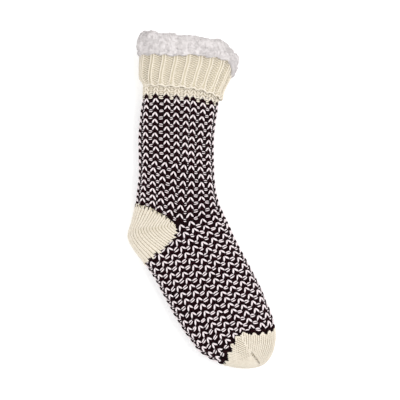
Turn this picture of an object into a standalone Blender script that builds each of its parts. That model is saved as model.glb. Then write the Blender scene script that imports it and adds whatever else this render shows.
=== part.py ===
"""A sherpa-lined slipper sock, empty and lying on its side on the floor.

+Z is up from the floor, +Y runs up the leg and +X points to the toes. The origin is on the floor under the
ankle, where the straight part of the leg's centreline ends. All lengths are in metres.
"""

import math
from typing import NamedTuple

import bmesh
import bpy
import numpy as np
from mathutils import Vector

# Driving sizes of the sock, measured as it lies flat.
FOOT_LENGTH = 0.235       # heel to toe tip
HEEL_BEHIND_BEND = 0.057  # how much of that lies behind the end of the ankle bend
HEEL_DEPTH = 0.125        # heel to the front of the ankle
INSTEP_DEPTH = 0.114      # sole to instep
LEG_HEIGHT = 0.113        # patterned leg, from the ankle up to the rib cuff
LEG_WIDTH = 0.0965        # back to shin
LEG_THICKNESS = 0.046     # floor to top, with the lining's loft inside
BALL_THICKNESS = 0.052    # across the ball of the foot
KNIT_WALL = 0.003         # patterned knit
POCKET_WALL = 0.0024      # plain knit of heel and toe
POCKET_STEP = 0.0005      # plain knit lies this much below the patterned knit
RIB_WALL = 0.0026         # rib knit between its ridges
PILE = 0.0065             # sherpa lining
SEAM_GAP = 0.0003         # clearance between neighbouring pieces

# The centreline: a straight leg, one bend at the ankle and a straight foot.
LEG_LEAN = math.radians(4.0)
ANKLE_TURN = math.radians(32.0)
ANKLE_RADIUS = 0.138
ANKLE_ARC = ANKLE_RADIUS * ANKLE_TURN
FOOT_REACH = FOOT_LENGTH - HEEL_BEHIND_BEND

# Roundness of every section: 2 is an ellipse, more is squarer. The floor side is pressed flat.
TOP_ROUND = 2.5
FLOOR_ROUND = 3.2
PRESSED = 0.0015

# The toe closes over its last stretch.
TOE_ROOT = ANKLE_ARC + 0.64 * FOOT_REACH
TOE_TIP = ANKLE_ARC + FOOT_REACH
TOE_OUTLINE_ROUND = 1.7
TOE_CROWN_ROUND = 2.1
TOE_TOWARDS_INSTEP = 0.011
TOE_LIFT_SHARE = 0.35

# Rib cuff: the rib stands up from the leg, folds over at the top and hangs down outside.
RIB_COUNT = 20
RIB_DEPTH = 0.0014
CUFF_LIFT = 0.0055        # the standing layer lies this high, on the layer turned down under it
CUFF_FOLD = -0.1585       # station of the fold
STAND_MIDDLE = -0.135     # station halfway up the standing layer
FOLD_SLOT = 0.0013        # air between the two layers
FOLD_ROUND = 0.6 * RIB_WALL
FOLD_RISE = 0.4 * RIB_WALL
FOLD_ROOT = CUFF_FOLD + 1.4 * RIB_WALL
CUFF_EDGE = -0.1165       # lower edge, at the middle of the side
CUFF_EDGE_TILT = 0.0055   # the edge hangs lower at the shin and higher at the back

# Sherpa roll that tops the cuff.
ROLL_TOP = -0.1918
ROLL_FOOT = -0.1565       # the roll hangs this far down over the cuff's fold
ROLL_TILT = 0.0025        # it lies lower at the shin
TUFT_HEIGHT = 0.0036
TUFTS_ROUND = (15, 11)    # two sets of tufts lie over each other
TUFTS_ALONG = (4.5, 3.0)
LINING_END = -0.128       # the lining's collar reaches this far down inside the leg
PILE_BACK = KNIT_WALL + SEAM_GAP
OVER_FOLD = CUFF_FOLD - 1.2 * RIB_WALL

# Points round a section and stations along the sock.
BODY_POINTS = 36
BODY_STEP = 0.0088
TOE_STEPS = 9
CUFF_POINTS = 4 * RIB_COUNT


class Section(NamedTuple):
    """One section of the last: where it lies and how far it reaches from the centreline."""

    at: float       # along the centreline, from the ankle's start towards the toe
    depth: float    # back or sole to shin or instep
    shift: float    # middle of that depth, towards the front
    thick: float    # floor side to top side
    lift: float     # height of the floor side


LAST = (
    Section(-LEG_HEIGHT, LEG_WIDTH, -0.0020, 0.0495, CUFF_LIFT),
    Section(-0.92 * LEG_HEIGHT, LEG_WIDTH, -0.0020, 0.0495, CUFF_LIFT),
    Section(-0.76 * LEG_HEIGHT, LEG_WIDTH, -0.0035, 0.0475, 0.0020),
    Section(-0.58 * LEG_HEIGHT, LEG_WIDTH, -0.0043, LEG_THICKNESS, 0.0),
    Section(-0.18 * LEG_HEIGHT, LEG_WIDTH, -0.0010, LEG_THICKNESS, 0.0),
    Section(0.00, 1.03 * LEG_WIDTH, 0.0008, 0.0465, 0.0),
    Section(0.21 * ANKLE_ARC, 0.83 * HEEL_DEPTH, 0.0008, 0.0475, 0.0),
    Section(0.42 * ANKLE_ARC, 0.90 * HEEL_DEPTH, -0.0020, 0.0490, 0.0),
    Section(0.62 * ANKLE_ARC, HEEL_DEPTH, -0.0058, 0.0500, 0.0),
    Section(0.98 * ANKLE_ARC, 0.94 * HEEL_DEPTH, -0.0012, 0.0490, 0.0),
    Section(ANKLE_ARC + 0.14 * FOOT_REACH, INSTEP_DEPTH, -0.0010, 0.0480, 0.0),
    Section(ANKLE_ARC + 0.33 * FOOT_REACH, INSTEP_DEPTH, -0.0010, 0.0500, 0.0),
    Section(ANKLE_ARC + 0.51 * FOOT_REACH, 0.985 * INSTEP_DEPTH, -0.0005, BALL_THICKNESS, 0.0),
    Section(TOE_ROOT, 0.935 * INSTEP_DEPTH, -0.0002, 0.0490, 0.0),
)

# The rib that stands up from the leg, and the layer turned down over it.
RIB_STAND = (
    Section(CUFF_FOLD, 0.1080, 0.0020, 0.0465, CUFF_LIFT + 0.0040),
    Section(STAND_MIDDLE, 0.1000, -0.0010, 0.0490, CUFF_LIFT + 0.0010),
    Section(-LEG_HEIGHT, LEG_WIDTH, -0.0020, 0.0495, CUFF_LIFT),
)
RIB_TURNDOWN = (
    Section(CUFF_FOLD, 0.1240, 0.0045, 0.0585, 0.0045),
    Section(-0.1380, 0.1160, 0.0010, 0.0605, 0.0012),
    Section(CUFF_EDGE, 0.1062, -0.0014, 0.0604, 0.0),
)
SHERPA_ROLL = (
    Section(ROLL_TOP, 0.0930, -0.0050, 0.0470, 0.0085),
    Section(-0.1850, 0.1110, -0.0042, 0.0600, 0.0030),
    Section(-0.1720, 0.1265, 0.0015, 0.0670, 0.0),
    Section(ROLL_FOOT, 0.1320, 0.0055, 0.0690, 0.0),
)


class Edge(NamedTuple):
    """One line of a ring's profile: the layer it lies on, and how it is set in from that layer's outline."""

    layer: tuple            # table of sections
    at: float               # along the centreline
    inset: float            # inwards from the outline
    relief: float = 0.0     # share of the ribs' or tufts' relief that shows
    tilt: float = 0.0       # how much lower it lies at the shin


CUFF_PROFILE = (
    Edge(RIB_STAND, -LEG_HEIGHT - SEAM_GAP, KNIT_WALL),
    Edge(RIB_STAND, STAND_MIDDLE, KNIT_WALL),
    Edge(RIB_STAND, CUFF_FOLD, KNIT_WALL),
    Edge(RIB_STAND, CUFF_FOLD - FOLD_RISE, KNIT_WALL - FOLD_ROUND),
    Edge(RIB_TURNDOWN, CUFF_FOLD - FOLD_RISE, 1.6 * FOLD_ROUND, 0.0, 0.2 * CUFF_EDGE_TILT),
    Edge(RIB_TURNDOWN, CUFF_FOLD + FOLD_ROUND, 0.0, 1.0, 0.2 * CUFF_EDGE_TILT),
    Edge(RIB_TURNDOWN, -0.1460, 0.0, 1.0, 0.4 * CUFF_EDGE_TILT),
    Edge(RIB_TURNDOWN, -0.1340, 0.0, 1.0, 0.7 * CUFF_EDGE_TILT),
    Edge(RIB_TURNDOWN, CUFF_EDGE - 1.5 * RIB_WALL, 0.0, 1.0, CUFF_EDGE_TILT),
    Edge(RIB_TURNDOWN, CUFF_EDGE - 0.4 * RIB_WALL, 0.4 * RIB_WALL, 1.0, CUFF_EDGE_TILT),
    Edge(RIB_TURNDOWN, CUFF_EDGE, RIB_WALL, 1.0, CUFF_EDGE_TILT),
    Edge(RIB_TURNDOWN, CUFF_EDGE - 2.3 * RIB_WALL, RIB_WALL + RIB_DEPTH, 0.0, CUFF_EDGE_TILT),
    Edge(RIB_STAND, FOLD_ROOT + RIB_WALL, -FOLD_SLOT),
    Edge(RIB_STAND, FOLD_ROOT, -FOLD_SLOT),
    Edge(RIB_STAND, FOLD_ROOT, 0.0),
    Edge(RIB_STAND, STAND_MIDDLE, 0.0),
    Edge(RIB_STAND, -LEG_HEIGHT - SEAM_GAP, 0.0),
)
ROLL_PROFILE = (
    Edge(RIB_STAND, LINING_END, PILE_BACK),
    Edge(RIB_STAND, LINING_END, PILE_BACK + PILE, -0.4),
    Edge(RIB_STAND, -0.1420, PILE_BACK + PILE, -0.4),
    Edge(RIB_STAND, CUFF_FOLD, PILE_BACK + PILE, -0.4),
    Edge(SHERPA_ROLL, -0.1790, 0.0175, 1.0, ROLL_TILT),
    Edge(SHERPA_ROLL, -0.1870, 0.0105, 1.0, ROLL_TILT),
    Edge(SHERPA_ROLL, ROLL_TOP, 0.0, 1.0, ROLL_TILT),
    Edge(SHERPA_ROLL, -0.1880, 0.0, 1.0, ROLL_TILT),
    Edge(SHERPA_ROLL, -0.1820, 0.0, 1.0, ROLL_TILT),
    Edge(SHERPA_ROLL, -0.1750, 0.0, 1.0, ROLL_TILT),
    Edge(SHERPA_ROLL, -0.1670, 0.0, 1.0, ROLL_TILT),
    Edge(SHERPA_ROLL, -0.1600, 0.0, 1.0, ROLL_TILT),
    Edge(SHERPA_ROLL, ROLL_FOOT, 0.0004, 1.0, ROLL_TILT),
    Edge(RIB_TURNDOWN, CUFF_FOLD, -SEAM_GAP),
    Edge(RIB_TURNDOWN, OVER_FOLD, 0.0012),
    Edge(RIB_STAND, OVER_FOLD, PILE_BACK),
    Edge(RIB_STAND, CUFF_FOLD, PILE_BACK),
    Edge(RIB_STAND, STAND_MIDDLE, PILE_BACK),
)


class Border(NamedTuple):
    """One corner of a knitted border, on the floor plan."""

    share: float    # -1 at the back or sole, 0 at the side's middle, 1 at the shin or instep
    at: float       # along the centreline


HEEL_BORDER = (
    Border(-1.00, 0.27 * ANKLE_ARC),
    Border(-0.60, 0.31 * ANKLE_ARC),
    Border(-0.25, 0.45 * ANKLE_ARC),
    Border(-0.08, 0.56 * ANKLE_ARC),
    Border(-0.08, 0.65 * ANKLE_ARC),
    Border(-0.22, 0.75 * ANKLE_ARC),
    Border(-1.00, 0.95 * ANKLE_ARC),
)
TOE_BORDER = (
    Border(1.00, ANKLE_ARC + 0.815 * FOOT_REACH),
    Border(0.45, ANKLE_ARC + 0.745 * FOOT_REACH),
    Border(0.04, ANKLE_ARC + 0.700 * FOOT_REACH),
    Border(-0.35, ANKLE_ARC + 0.745 * FOOT_REACH),
    Border(-1.00, ANKLE_ARC + 0.860 * FOOT_REACH),
)
CUTTER_REACH = 1.6        # cutters stand this many half depths out from the centreline
CUTTER_TOP = 0.09

CREAM = (0.80, 0.72, 0.60)
YARN_DARK = (0.012, 0.003, 0.005)
SHERPA_WHITE = (0.80, 0.78, 0.78)


def smooth_through(at, values, where):
    """Cubic curve through a table's column that never swings past its values."""
    step = np.diff(at)
    slope = np.diff(values) / step
    tangent = np.zeros(len(values))
    before, after = slope[:-1], slope[1:]
    same_way = before * after > 0
    tangent[1:-1][same_way] = (2 * before * after / (before + after + 1e-30))[same_way]
    row = np.clip(np.searchsorted(at, where) - 1, 0, len(step) - 1)
    t = np.clip((where - at[row]) / step[row], 0.0, 1.0)
    rise = values[row] + (values[row + 1] - values[row]) * t * t * (3 - 2 * t)
    lean = tangent[row] * t * (1 - t) ** 2 - tangent[row + 1] * t * t * (1 - t)
    return rise + lean * step[row]


def section_of(table, at):
    """The section at a station, read between the rows of a table."""
    columns = np.array(table).T
    return Section(at, *(float(smooth_through(columns[0], column, at)) for column in columns[1:]))


def last_section(at):
    """The section of the last, which closes in a round toe past its toe root."""
    section = section_of(LAST, min(at, TOE_ROOT))
    if at <= TOE_ROOT:
        return section
    share = min((at - TOE_ROOT) / (TOE_TIP - TOE_ROOT), 1.0)
    outline = (1 - share**TOE_OUTLINE_ROUND) ** (1 / TOE_OUTLINE_ROUND)
    crown = (1 - share**TOE_CROWN_ROUND) ** (1 / TOE_CROWN_ROUND)
    thick = section.thick * crown
    return Section(
        at,
        section.depth * outline,
        section.shift + TOE_TOWARDS_INSTEP * share**1.5,
        thick,
        TOE_LIFT_SHARE * (section.thick - thick),
    )


def centreline(at):
    """Points of the centreline on the floor plan, and the unit vectors that point to the front."""
    at = np.asarray(at, float)
    turn = np.clip(at / ANKLE_RADIUS, 0.0, ANKLE_TURN) - LEG_LEAN
    front = np.stack([np.cos(turn), np.sin(turn)], axis=-1)
    onward = np.stack([front[..., 1], -front[..., 0]], axis=-1)
    bend_centre = ANKLE_RADIUS * np.array([math.cos(LEG_LEAN), -math.sin(LEG_LEAN)])
    straight = np.minimum(at, 0.0) + np.maximum(at - ANKLE_ARC, 0.0)
    return bend_centre - ANKLE_RADIUS * front + onward * straight[..., None], front


def plan_point(at, share):
    """A point on the floor plan: share -1 is the back or sole, 0 the middle, 1 the shin or instep."""
    section = last_section(at)
    point, front = centreline(at)
    return Vector(point + front * (section.shift + share * section.depth / 2))


def even_outline(depth, thick, count):
    """Depth and height shares of points spaced evenly round a section, from the front over the top."""
    angle = np.linspace(0, 2 * math.pi, 721)
    power = 2 / np.where(np.sin(angle) > 0, TOP_ROUND, FLOOR_ROUND)
    across = np.sign(np.cos(angle)) * np.abs(np.cos(angle)) ** power
    height = np.sign(np.sin(angle)) * np.abs(np.sin(angle)) ** power
    run = np.hypot(np.diff(across) * depth / 2, np.diff(height) * thick / 2)
    length = np.concatenate([[0.0], np.cumsum(run)])
    even = np.linspace(0, length[-1], count, endpoint=False)
    return np.interp(even, length, across), np.interp(even, length, height)


def ring(section, count, inset=0.0, tilt=0.0):
    """Points round one section, set in from its outline by inset and laid over by tilt along the leg."""
    across, height = even_outline(section.depth, section.thick, count)
    point, front = centreline(section.at + tilt * across)
    reach = section.shift + (section.depth / 2 - inset) * across
    plan = point + front * reach[:, None]
    half = section.thick / 2
    pressed = np.where(height < 0, PRESSED, 0.0)
    level = section.lift + half + (half + pressed - inset) * height
    level = np.maximum(level, section.lift + inset)
    return np.column_stack([plan, level])


def add_loop(mesh, points):
    """The vertices of one ring."""
    return [mesh.verts.new(point) for point in points]


def skin(mesh, loops):
    """Quads from each ring to the next."""
    for near, far in zip(loops, loops[1:]):
        for i in range(len(near)):
            j = (i + 1) % len(near)
            mesh.faces.new((near[i], near[j], far[j], far[i]))


def material(name, colour, roughness):
    """A plain cloth material."""
    made = bpy.data.materials.new(name)
    made.use_nodes = True
    shader = made.node_tree.nodes["Principled BSDF"]
    shader.inputs["Base Color"].default_value = (*colour, 1.0)
    shader.inputs["Roughness"].default_value = roughness
    shader.inputs["Metallic"].default_value = 0.0
    made.diffuse_color = (*colour, 1.0)
    return made


def place(name, mesh, cloth, parent):
    """An object of a finished bmesh, shaded smooth and hung on the sock's empty."""
    bmesh.ops.recalc_face_normals(mesh, faces=mesh.faces)
    data = bpy.data.meshes.new(name)
    mesh.to_mesh(data)
    mesh.free()
    data.shade_smooth()
    data.set_sharp_from_angle(angle=math.radians(50))
    obj = bpy.data.objects.new(name, data)
    if cloth:
        data.materials.append(cloth)
    obj.parent = parent
    bpy.context.collection.objects.link(obj)
    return obj


def sock_skin(inset):
    """The outer skin of the whole foot and leg, open at the collar and closed in a round toe."""
    mesh = bmesh.new()
    straight = np.linspace(-LEG_HEIGHT, TOE_ROOT, round((TOE_ROOT + LEG_HEIGHT) / BODY_STEP) + 1)
    closing = np.sin(np.linspace(0, math.pi / 2, TOE_STEPS + 1)[1:-1])
    stations = [*straight, *(TOE_ROOT + closing * (TOE_TIP - TOE_ROOT))]
    loops = [add_loop(mesh, ring(last_section(at), BODY_POINTS, inset)) for at in stations]
    skin(mesh, loops)
    tip_section = last_section(TOE_TIP)
    tip = mesh.verts.new((*plan_point(TOE_TIP, 0), tip_section.lift))
    for i, corner in enumerate(loops[-1]):
        mesh.faces.new((corner, loops[-1][(i + 1) % BODY_POINTS], tip))
    return mesh


def cutter(name, outline, parent):
    """An upright prism over an outline on the floor plan, used only to cut."""
    mesh = bmesh.new()
    base = mesh.faces.new([mesh.verts.new((*corner, -CUTTER_TOP)) for corner in outline])
    raised = bmesh.ops.extrude_face_region(mesh, geom=[base])
    top = [v for v in raised["geom"] if isinstance(v, bmesh.types.BMVert)]
    bmesh.ops.translate(mesh, verts=top, vec=(0, 0, 2 * CUTTER_TOP))
    obj = place(name, mesh, None, parent)
    obj.hide_render = True
    obj.display_type = "WIRE"
    return obj


def border_outline(border, far_corners, gap):
    """Plan of a border and the corners that close it round its pocket, the border moved out by gap."""
    points = [plan_point(row.at, row.share) for row in border]
    centre = sum(points, Vector((0, 0))) / len(points)
    inward = sum(far_corners, Vector((0, 0))) / len(far_corners) - centre
    moved = []
    for i, point in enumerate(points):
        run = points[min(i + 1, len(points) - 1)] - points[max(i - 1, 0)]
        out = Vector((run.y, -run.x)).normalized()
        if out.dot(inward) > 0:
            out = -out
        moved.append(point + gap * out)
    return moved + far_corners


def heel_outline(gap):
    """Plan of the heel pocket, moved out of the heel by gap."""
    top, base = HEEL_BORDER[0].at, HEEL_BORDER[-1].at
    far = [plan_point(at, -CUTTER_REACH) for at in (base, (top + base) / 2, top)]
    return border_outline(HEEL_BORDER, far, gap)


def toe_outline(gap):
    """Plan of the toe cap, moved back from the toe by gap."""
    point, front = centreline(TOE_TIP)
    beyond = point + np.array([front[1], -front[0]]) * INSTEP_DEPTH / 2
    far = [
        plan_point(TOE_BORDER[-1].at, -CUTTER_REACH),
        Vector(beyond - front * INSTEP_DEPTH / 2),
        Vector(beyond + front * INSTEP_DEPTH / 2),
        plan_point(TOE_BORDER[0].at, CUTTER_REACH),
    ]
    return border_outline(TOE_BORDER, far, gap)


def add_wall(obj, thickness):
    """Gives a skin its wall, inwards."""
    wall = obj.modifiers.new("wall", "SOLIDIFY")
    wall.thickness = thickness
    wall.offset = -1.0
    wall.use_even_offset = True
    wall.use_quality_normals = True


def add_cut(obj, other, operation):
    """Cuts a walled piece with a prism."""
    cut = obj.modifiers.new(other.name, "BOOLEAN")
    cut.object = other
    cut.operation = operation
    cut.solver = "EXACT"


def patterned_knit(parent, cloth):
    """Leg and foot, one knitted tube with its heel and toe left out."""
    body = place("knit_leg_and_foot", sock_skin(0.0), cloth, parent)
    add_wall(body, KNIT_WALL)
    for name, outline in (("heel_room", heel_outline), ("toe_room", toe_outline)):
        add_cut(body, cutter(name, outline(SEAM_GAP / 2), parent), "DIFFERENCE")
    return body


def knit_pocket(name, outline, parent, cloth):
    """Heel pocket or toe cap: the part of a slightly smaller sock inside its borders."""
    pocket = place(name, sock_skin(POCKET_STEP), cloth, parent)
    add_wall(pocket, POCKET_WALL)
    add_cut(pocket, cutter(f"{name}_border", outline(-SEAM_GAP / 2), parent), "INTERSECT")
    return pocket


def ring_piece(name, profile, relief, parent, cloth):
    """A ring round the leg: the profile's lines carried round, with a relief read for each line."""
    mesh = bmesh.new()
    loops = []
    for row, edge in enumerate(profile):
        inset = edge.inset + edge.relief * relief(row)
        loops.append(add_loop(mesh, ring(section_of(edge.layer, edge.at), CUFF_POINTS, inset, edge.tilt)))
    skin(mesh, [*loops, loops[0]])
    return place(name, mesh, cloth, parent)


def rib_relief(_row):
    """How far the rib knit lies below its ridges, round the leg: one narrow ridge to each rib."""
    turn = 2 * math.pi * RIB_COUNT * np.arange(CUFF_POINTS) / CUFF_POINTS
    ridge = 0.5 + 0.5 * np.cos(turn)
    return RIB_DEPTH * (1 - ridge**1.6)


def tuft_relief(row):
    """How far the pile lies below its tufts, round the leg, on one line of the roll's profile."""
    turn = 2 * math.pi * np.arange(CUFF_POINTS) / CUFF_POINTS
    tuft = 0.5
    for count, rows, offset in zip(TUFTS_ROUND, TUFTS_ALONG, (0.0, 0.9)):
        around = np.cos(count * turn + 1.2 * np.sin(2 * turn + offset) + offset)
        tuft = tuft + 0.25 * around * math.cos(2 * math.pi * rows * row / len(ROLL_PROFILE) + offset)
    return TUFT_HEIGHT * (1 - tuft)


def main():
    """Builds the sock's pieces on one empty."""
    for obj in list(bpy.data.objects):
        bpy.data.objects.remove(obj)
    sock = bpy.data.objects.new("sock", None)
    bpy.context.collection.objects.link(sock)
    cream = material("cream_knit", CREAM, 0.9)
    patterned_knit(sock, material("patterned_knit", YARN_DARK, 0.9))
    knit_pocket("heel_pocket", heel_outline, sock, cream)
    knit_pocket("toe_cap", toe_outline, sock, cream)
    ring_piece("rib_cuff", CUFF_PROFILE, rib_relief, sock, cream)
    white = material("sherpa_pile", SHERPA_WHITE, 1.0)
    ring_piece("sherpa_collar", ROLL_PROFILE, tuft_relief, sock, white)


main()
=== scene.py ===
"""The looks of a sherpa-lined slipper sock that lies on its side, dressed over its solids.

Lengths are in metres in the solids' own frame: +Z is up from the floor, +Y runs up the leg and +X points to
the toes. Every stitch is laid on the sock's surface by its place along the centreline (at) and round the
section (share, from the shin over the top to the back and under).
"""

import logging
import math
from dataclasses import dataclass, field
from enum import Enum
from typing import NamedTuple

import bmesh
import bpy
import numpy as np
from mathutils import Matrix, Vector


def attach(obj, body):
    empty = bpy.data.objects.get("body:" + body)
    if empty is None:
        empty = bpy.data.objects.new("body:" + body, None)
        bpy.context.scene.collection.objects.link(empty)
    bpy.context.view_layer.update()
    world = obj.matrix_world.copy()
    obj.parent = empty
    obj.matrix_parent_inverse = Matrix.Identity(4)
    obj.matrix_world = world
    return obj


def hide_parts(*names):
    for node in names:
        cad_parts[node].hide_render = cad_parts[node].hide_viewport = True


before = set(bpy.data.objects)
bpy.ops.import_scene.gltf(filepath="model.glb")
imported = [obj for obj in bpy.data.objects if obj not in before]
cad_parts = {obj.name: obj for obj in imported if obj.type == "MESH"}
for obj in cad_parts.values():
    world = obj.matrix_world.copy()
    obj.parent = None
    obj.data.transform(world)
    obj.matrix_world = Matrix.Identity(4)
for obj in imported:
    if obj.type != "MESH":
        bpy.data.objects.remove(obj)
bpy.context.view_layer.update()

LOG = logging.getLogger("sock")
Array = np.ndarray
Random = np.random.Generator

# Sizes of the solids, which the stitches follow.
FOOT_REACH = 0.178
LEG_HEIGHT = 0.113
LEG_WIDTH = 0.0965
HEEL_DEPTH = 0.125
INSTEP_DEPTH = 0.114
CUFF_LIFT = 0.0055
CUFF_FOLD = -0.1585
CUFF_EDGE = -0.1165
STAND_MIDDLE = -0.135
ROLL_TOP = -0.1918
ROLL_FOOT = -0.1565
ROLL_TILT = 0.0025
KNIT_WALL = 0.003
SEAM_GAP = 0.0003

# The knit: the wales round the sock, the place of the first in wales from the shin, and courses by number.
WALES = 20
FIRST_WALE = 1.5
HEEL_COURSE = 16.5
FOOT_COURSE = 17.0
TOE_COURSE = 33.0

# The yarn: the two limbs of a stitch, how thick a short limb is along its length, and the least height that
# yarn has above the floor.
LIMBS = (-1.0, 1.0)
LIMB_TAPER = np.array([0.75, 1.05, 1.05, 0.75])
YARN_REST = 0.00005

# Places round a section where the cloth under the stitches has its points, and what keeps a divisor from 0.
GROUND_SHARE = np.arange(8 * WALES) / (8 * WALES)
TINY = 1e-30


class Section(NamedTuple):
    """One section of a layer: where it lies and how far it reaches from the centreline."""

    at: float
    depth: float
    shift: float
    thick: float
    lift: float


class Border(NamedTuple):
    """Where a knitted border lies on one wale, counted from the shin on either side."""

    wale: float
    at: float


class Course(NamedTuple):
    """Stations of one course of the pattern at five wales, from the shin over the side to the back."""

    number: float
    shin: float
    side: float
    past_side: float
    near_back: float
    back: float


class WaleRow(NamedTuple):
    """Where the eight wales of the top side run at one station, in even wales from the shin."""

    at: float
    places: tuple[float, ...]


class LinePoint(NamedTuple):
    """Where a line along the sock runs at one station, as a share round the section."""

    at: float
    share: float


class Hem(NamedTuple):
    """How far an edge drops at one share across the plan, from -1 at the back to 1 at the shin."""

    across: float
    drop: float


class Yarn(Enum):
    """The two yarns of the pattern, by the part of a repeat that each is knitted in."""

    DARK = 0.0
    WHITE = 0.5


class Panel(Enum):
    """The toe's two panels, by the share round the section of their middles."""

    INSTEP = 0.0
    SOLE = 0.5


class Node(Enum):
    """The solids that the pieces stand for."""

    KNIT = "knit_leg_and_foot"
    HEEL = "heel_pocket"
    TOE = "toe_cap"
    CUFF = "rib_cuff"
    COLLAR = "sherpa_collar"


class Slot(Enum):
    """The material slots of the record."""

    PATTERN = "patterned_knit"
    CREAM = "cream_knit"
    SHERPA = "sherpa_pile"


def smooth_through(at: Array, values: Array, where: Array, open_ends: bool = False) -> Array:
    """Reads a table's column along a cubic curve that never swings past its values.

    Args:
        at: The column of places, rising.
        values: The column that is read.
        where: The places that are asked for.
        open_ends: Whether the curve runs out straight at its ends, and does not level off.

    Returns:
        The values at those places.
    """
    step = np.diff(at)
    slope = np.diff(values) / step
    tangent = np.zeros(len(values))
    before, after = slope[:-1], slope[1:]
    same_way = before * after > 0
    tangent[1:-1][same_way] = (2 * before * after / (before + after + TINY))[same_way]
    if open_ends:
        tangent[0], tangent[-1] = slope[0], slope[-1]
    row = np.clip(np.searchsorted(at, where) - 1, 0, len(step) - 1)
    t = (where - at[row]) / step[row]
    past = np.where(t < 0, t * slope[0] * step[0], np.where(t > 1, (t - 1) * slope[-1] * step[-1], 0.0))
    t = np.clip(t, 0.0, 1.0)
    rise = values[row] + (values[row + 1] - values[row]) * t * t * (3 - 2 * t)
    lean = tangent[row] * t * (1 - t) ** 2 - tangent[row + 1] * t * t * (1 - t)
    return rise + lean * step[row] + (past if open_ends else 0.0)


def unit(vectors: Array) -> Array:
    """Vectors brought to a length of 1."""
    return vectors / np.maximum(np.linalg.norm(vectors, axis=-1, keepdims=True), TINY)


def combined(*values: Array | tuple[float, ...]) -> tuple[Array, ...]:
    """Every combination of some values, as one column for each of them."""
    return tuple(grid.ravel()[:, None] for grid in np.meshgrid(*values, indexing="ij"))


def ease(value: Array, low: float, high: float) -> Array:
    """Rises smoothly from 0 at low to 1 at high."""
    t = np.clip((np.asarray(value, float) - low) / (high - low), 0.0, 1.0)
    return t * t * (3 - 2 * t)


def border_at(rows: tuple[Border, ...], share: Array) -> Array:
    """Reads a border, the same on the top side as on the floor side.

    Args:
        rows: The border's table.
        share: Places round the section.

    Returns:
        Stations of the border there.
    """
    table = np.array(rows).T
    place = np.mod(np.asarray(share, float) * WALES, WALES)
    fold = np.clip(np.minimum(place, WALES - place), table[0, 0], table[0, -1])
    return smooth_through(table[0], table[1], fold)


@dataclass(frozen=True)
class Unevenness:
    """A smooth random field in space, made of waves in many directions."""

    wavelength: float
    seed: int
    waves: int = 28
    shortest: float = 0.75
    longest: float = 1.35
    crest: float = 1.6

    def at(self, points: Array) -> Array:
        """Reads the field.

        Args:
            points: Places in space.

        Returns:
            One value for each, mostly between -1 and 1.
        """
        random = np.random.default_rng(self.seed)
        way = unit(random.normal(size=(self.waves, 3)))
        rate = 2 * math.pi / (self.wavelength * random.uniform(self.shortest, self.longest, self.waves))
        phase = random.uniform(0, 2 * math.pi, self.waves)
        waves = np.sin(np.asarray(points) @ (way * rate[:, None]).T + phase)
        return waves.sum(axis=-1) * math.sqrt(2 / self.waves) / self.crest


@dataclass(frozen=True)
class Centreline:
    """A straight leg that leans back, one bend at the ankle and a straight foot."""

    lean: float = math.radians(4.0)
    turn: float = math.radians(32.0)
    radius: float = 0.138

    @property
    def arc(self) -> float:
        """Length of the bend."""
        return self.radius * self.turn

    def place(self, at: Array) -> tuple[Array, Array]:
        """Places stations on the floor plan.

        Args:
            at: Stations along the centreline, negative up the leg.

        Returns:
            The plan points, and the unit vectors that point to the front there.
        """
        turn = np.clip(at / self.radius, 0.0, self.turn) - self.lean
        front = np.stack([np.cos(turn), np.sin(turn)], axis=-1)
        onward = np.stack([front[..., 1], -front[..., 0]], axis=-1)
        centre = self.radius * np.array([math.cos(self.lean), -math.sin(self.lean)])
        straight = np.minimum(at, 0.0) + np.maximum(at - self.arc, 0.0)
        return centre - self.radius * front + onward * straight[..., None], front


LINE = Centreline()
ARC = LINE.arc
TOE_ROOT = ARC + 0.64 * FOOT_REACH
TOE_TIP = ARC + FOOT_REACH

LAST = (
    Section(-LEG_HEIGHT, LEG_WIDTH, -0.0020, 0.0495, CUFF_LIFT),
    Section(-0.92 * LEG_HEIGHT, LEG_WIDTH, -0.0020, 0.0495, CUFF_LIFT),
    Section(-0.76 * LEG_HEIGHT, LEG_WIDTH, -0.0035, 0.0475, 0.0020),
    Section(-0.58 * LEG_HEIGHT, LEG_WIDTH, -0.0043, 0.0460, 0.0),
    Section(-0.18 * LEG_HEIGHT, LEG_WIDTH, -0.0010, 0.0460, 0.0),
    Section(0.0, 1.03 * LEG_WIDTH, 0.0008, 0.0465, 0.0),
    Section(0.21 * ARC, 0.83 * HEEL_DEPTH, 0.0008, 0.0475, 0.0),
    Section(0.42 * ARC, 0.90 * HEEL_DEPTH, -0.0020, 0.0490, 0.0),
    Section(0.62 * ARC, HEEL_DEPTH, -0.0058, 0.0500, 0.0),
    Section(0.98 * ARC, 0.94 * HEEL_DEPTH, -0.0012, 0.0490, 0.0),
    Section(ARC + 0.14 * FOOT_REACH, INSTEP_DEPTH, -0.0010, 0.0480, 0.0),
    Section(ARC + 0.33 * FOOT_REACH, INSTEP_DEPTH, -0.0010, 0.0500, 0.0),
    Section(ARC + 0.51 * FOOT_REACH, 0.985 * INSTEP_DEPTH, -0.0005, 0.0520, 0.0),
    Section(TOE_ROOT, 0.935 * INSTEP_DEPTH, -0.0002, 0.0490, 0.0),
)
RIB_STAND = (
    Section(CUFF_FOLD, 0.1080, 0.0020, 0.0465, CUFF_LIFT + 0.0040),
    Section(STAND_MIDDLE, 0.1000, -0.0010, 0.0490, CUFF_LIFT + 0.0010),
    Section(-LEG_HEIGHT, LEG_WIDTH, -0.0020, 0.0495, CUFF_LIFT),
)
RIB_TURNDOWN = (
    Section(CUFF_FOLD, 0.1240, 0.0045, 0.0585, 0.0045),
    Section(-0.1380, 0.1160, 0.0010, 0.0605, 0.0012),
    Section(CUFF_EDGE, 0.1062, -0.0014, 0.0604, 0.0),
)
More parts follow.
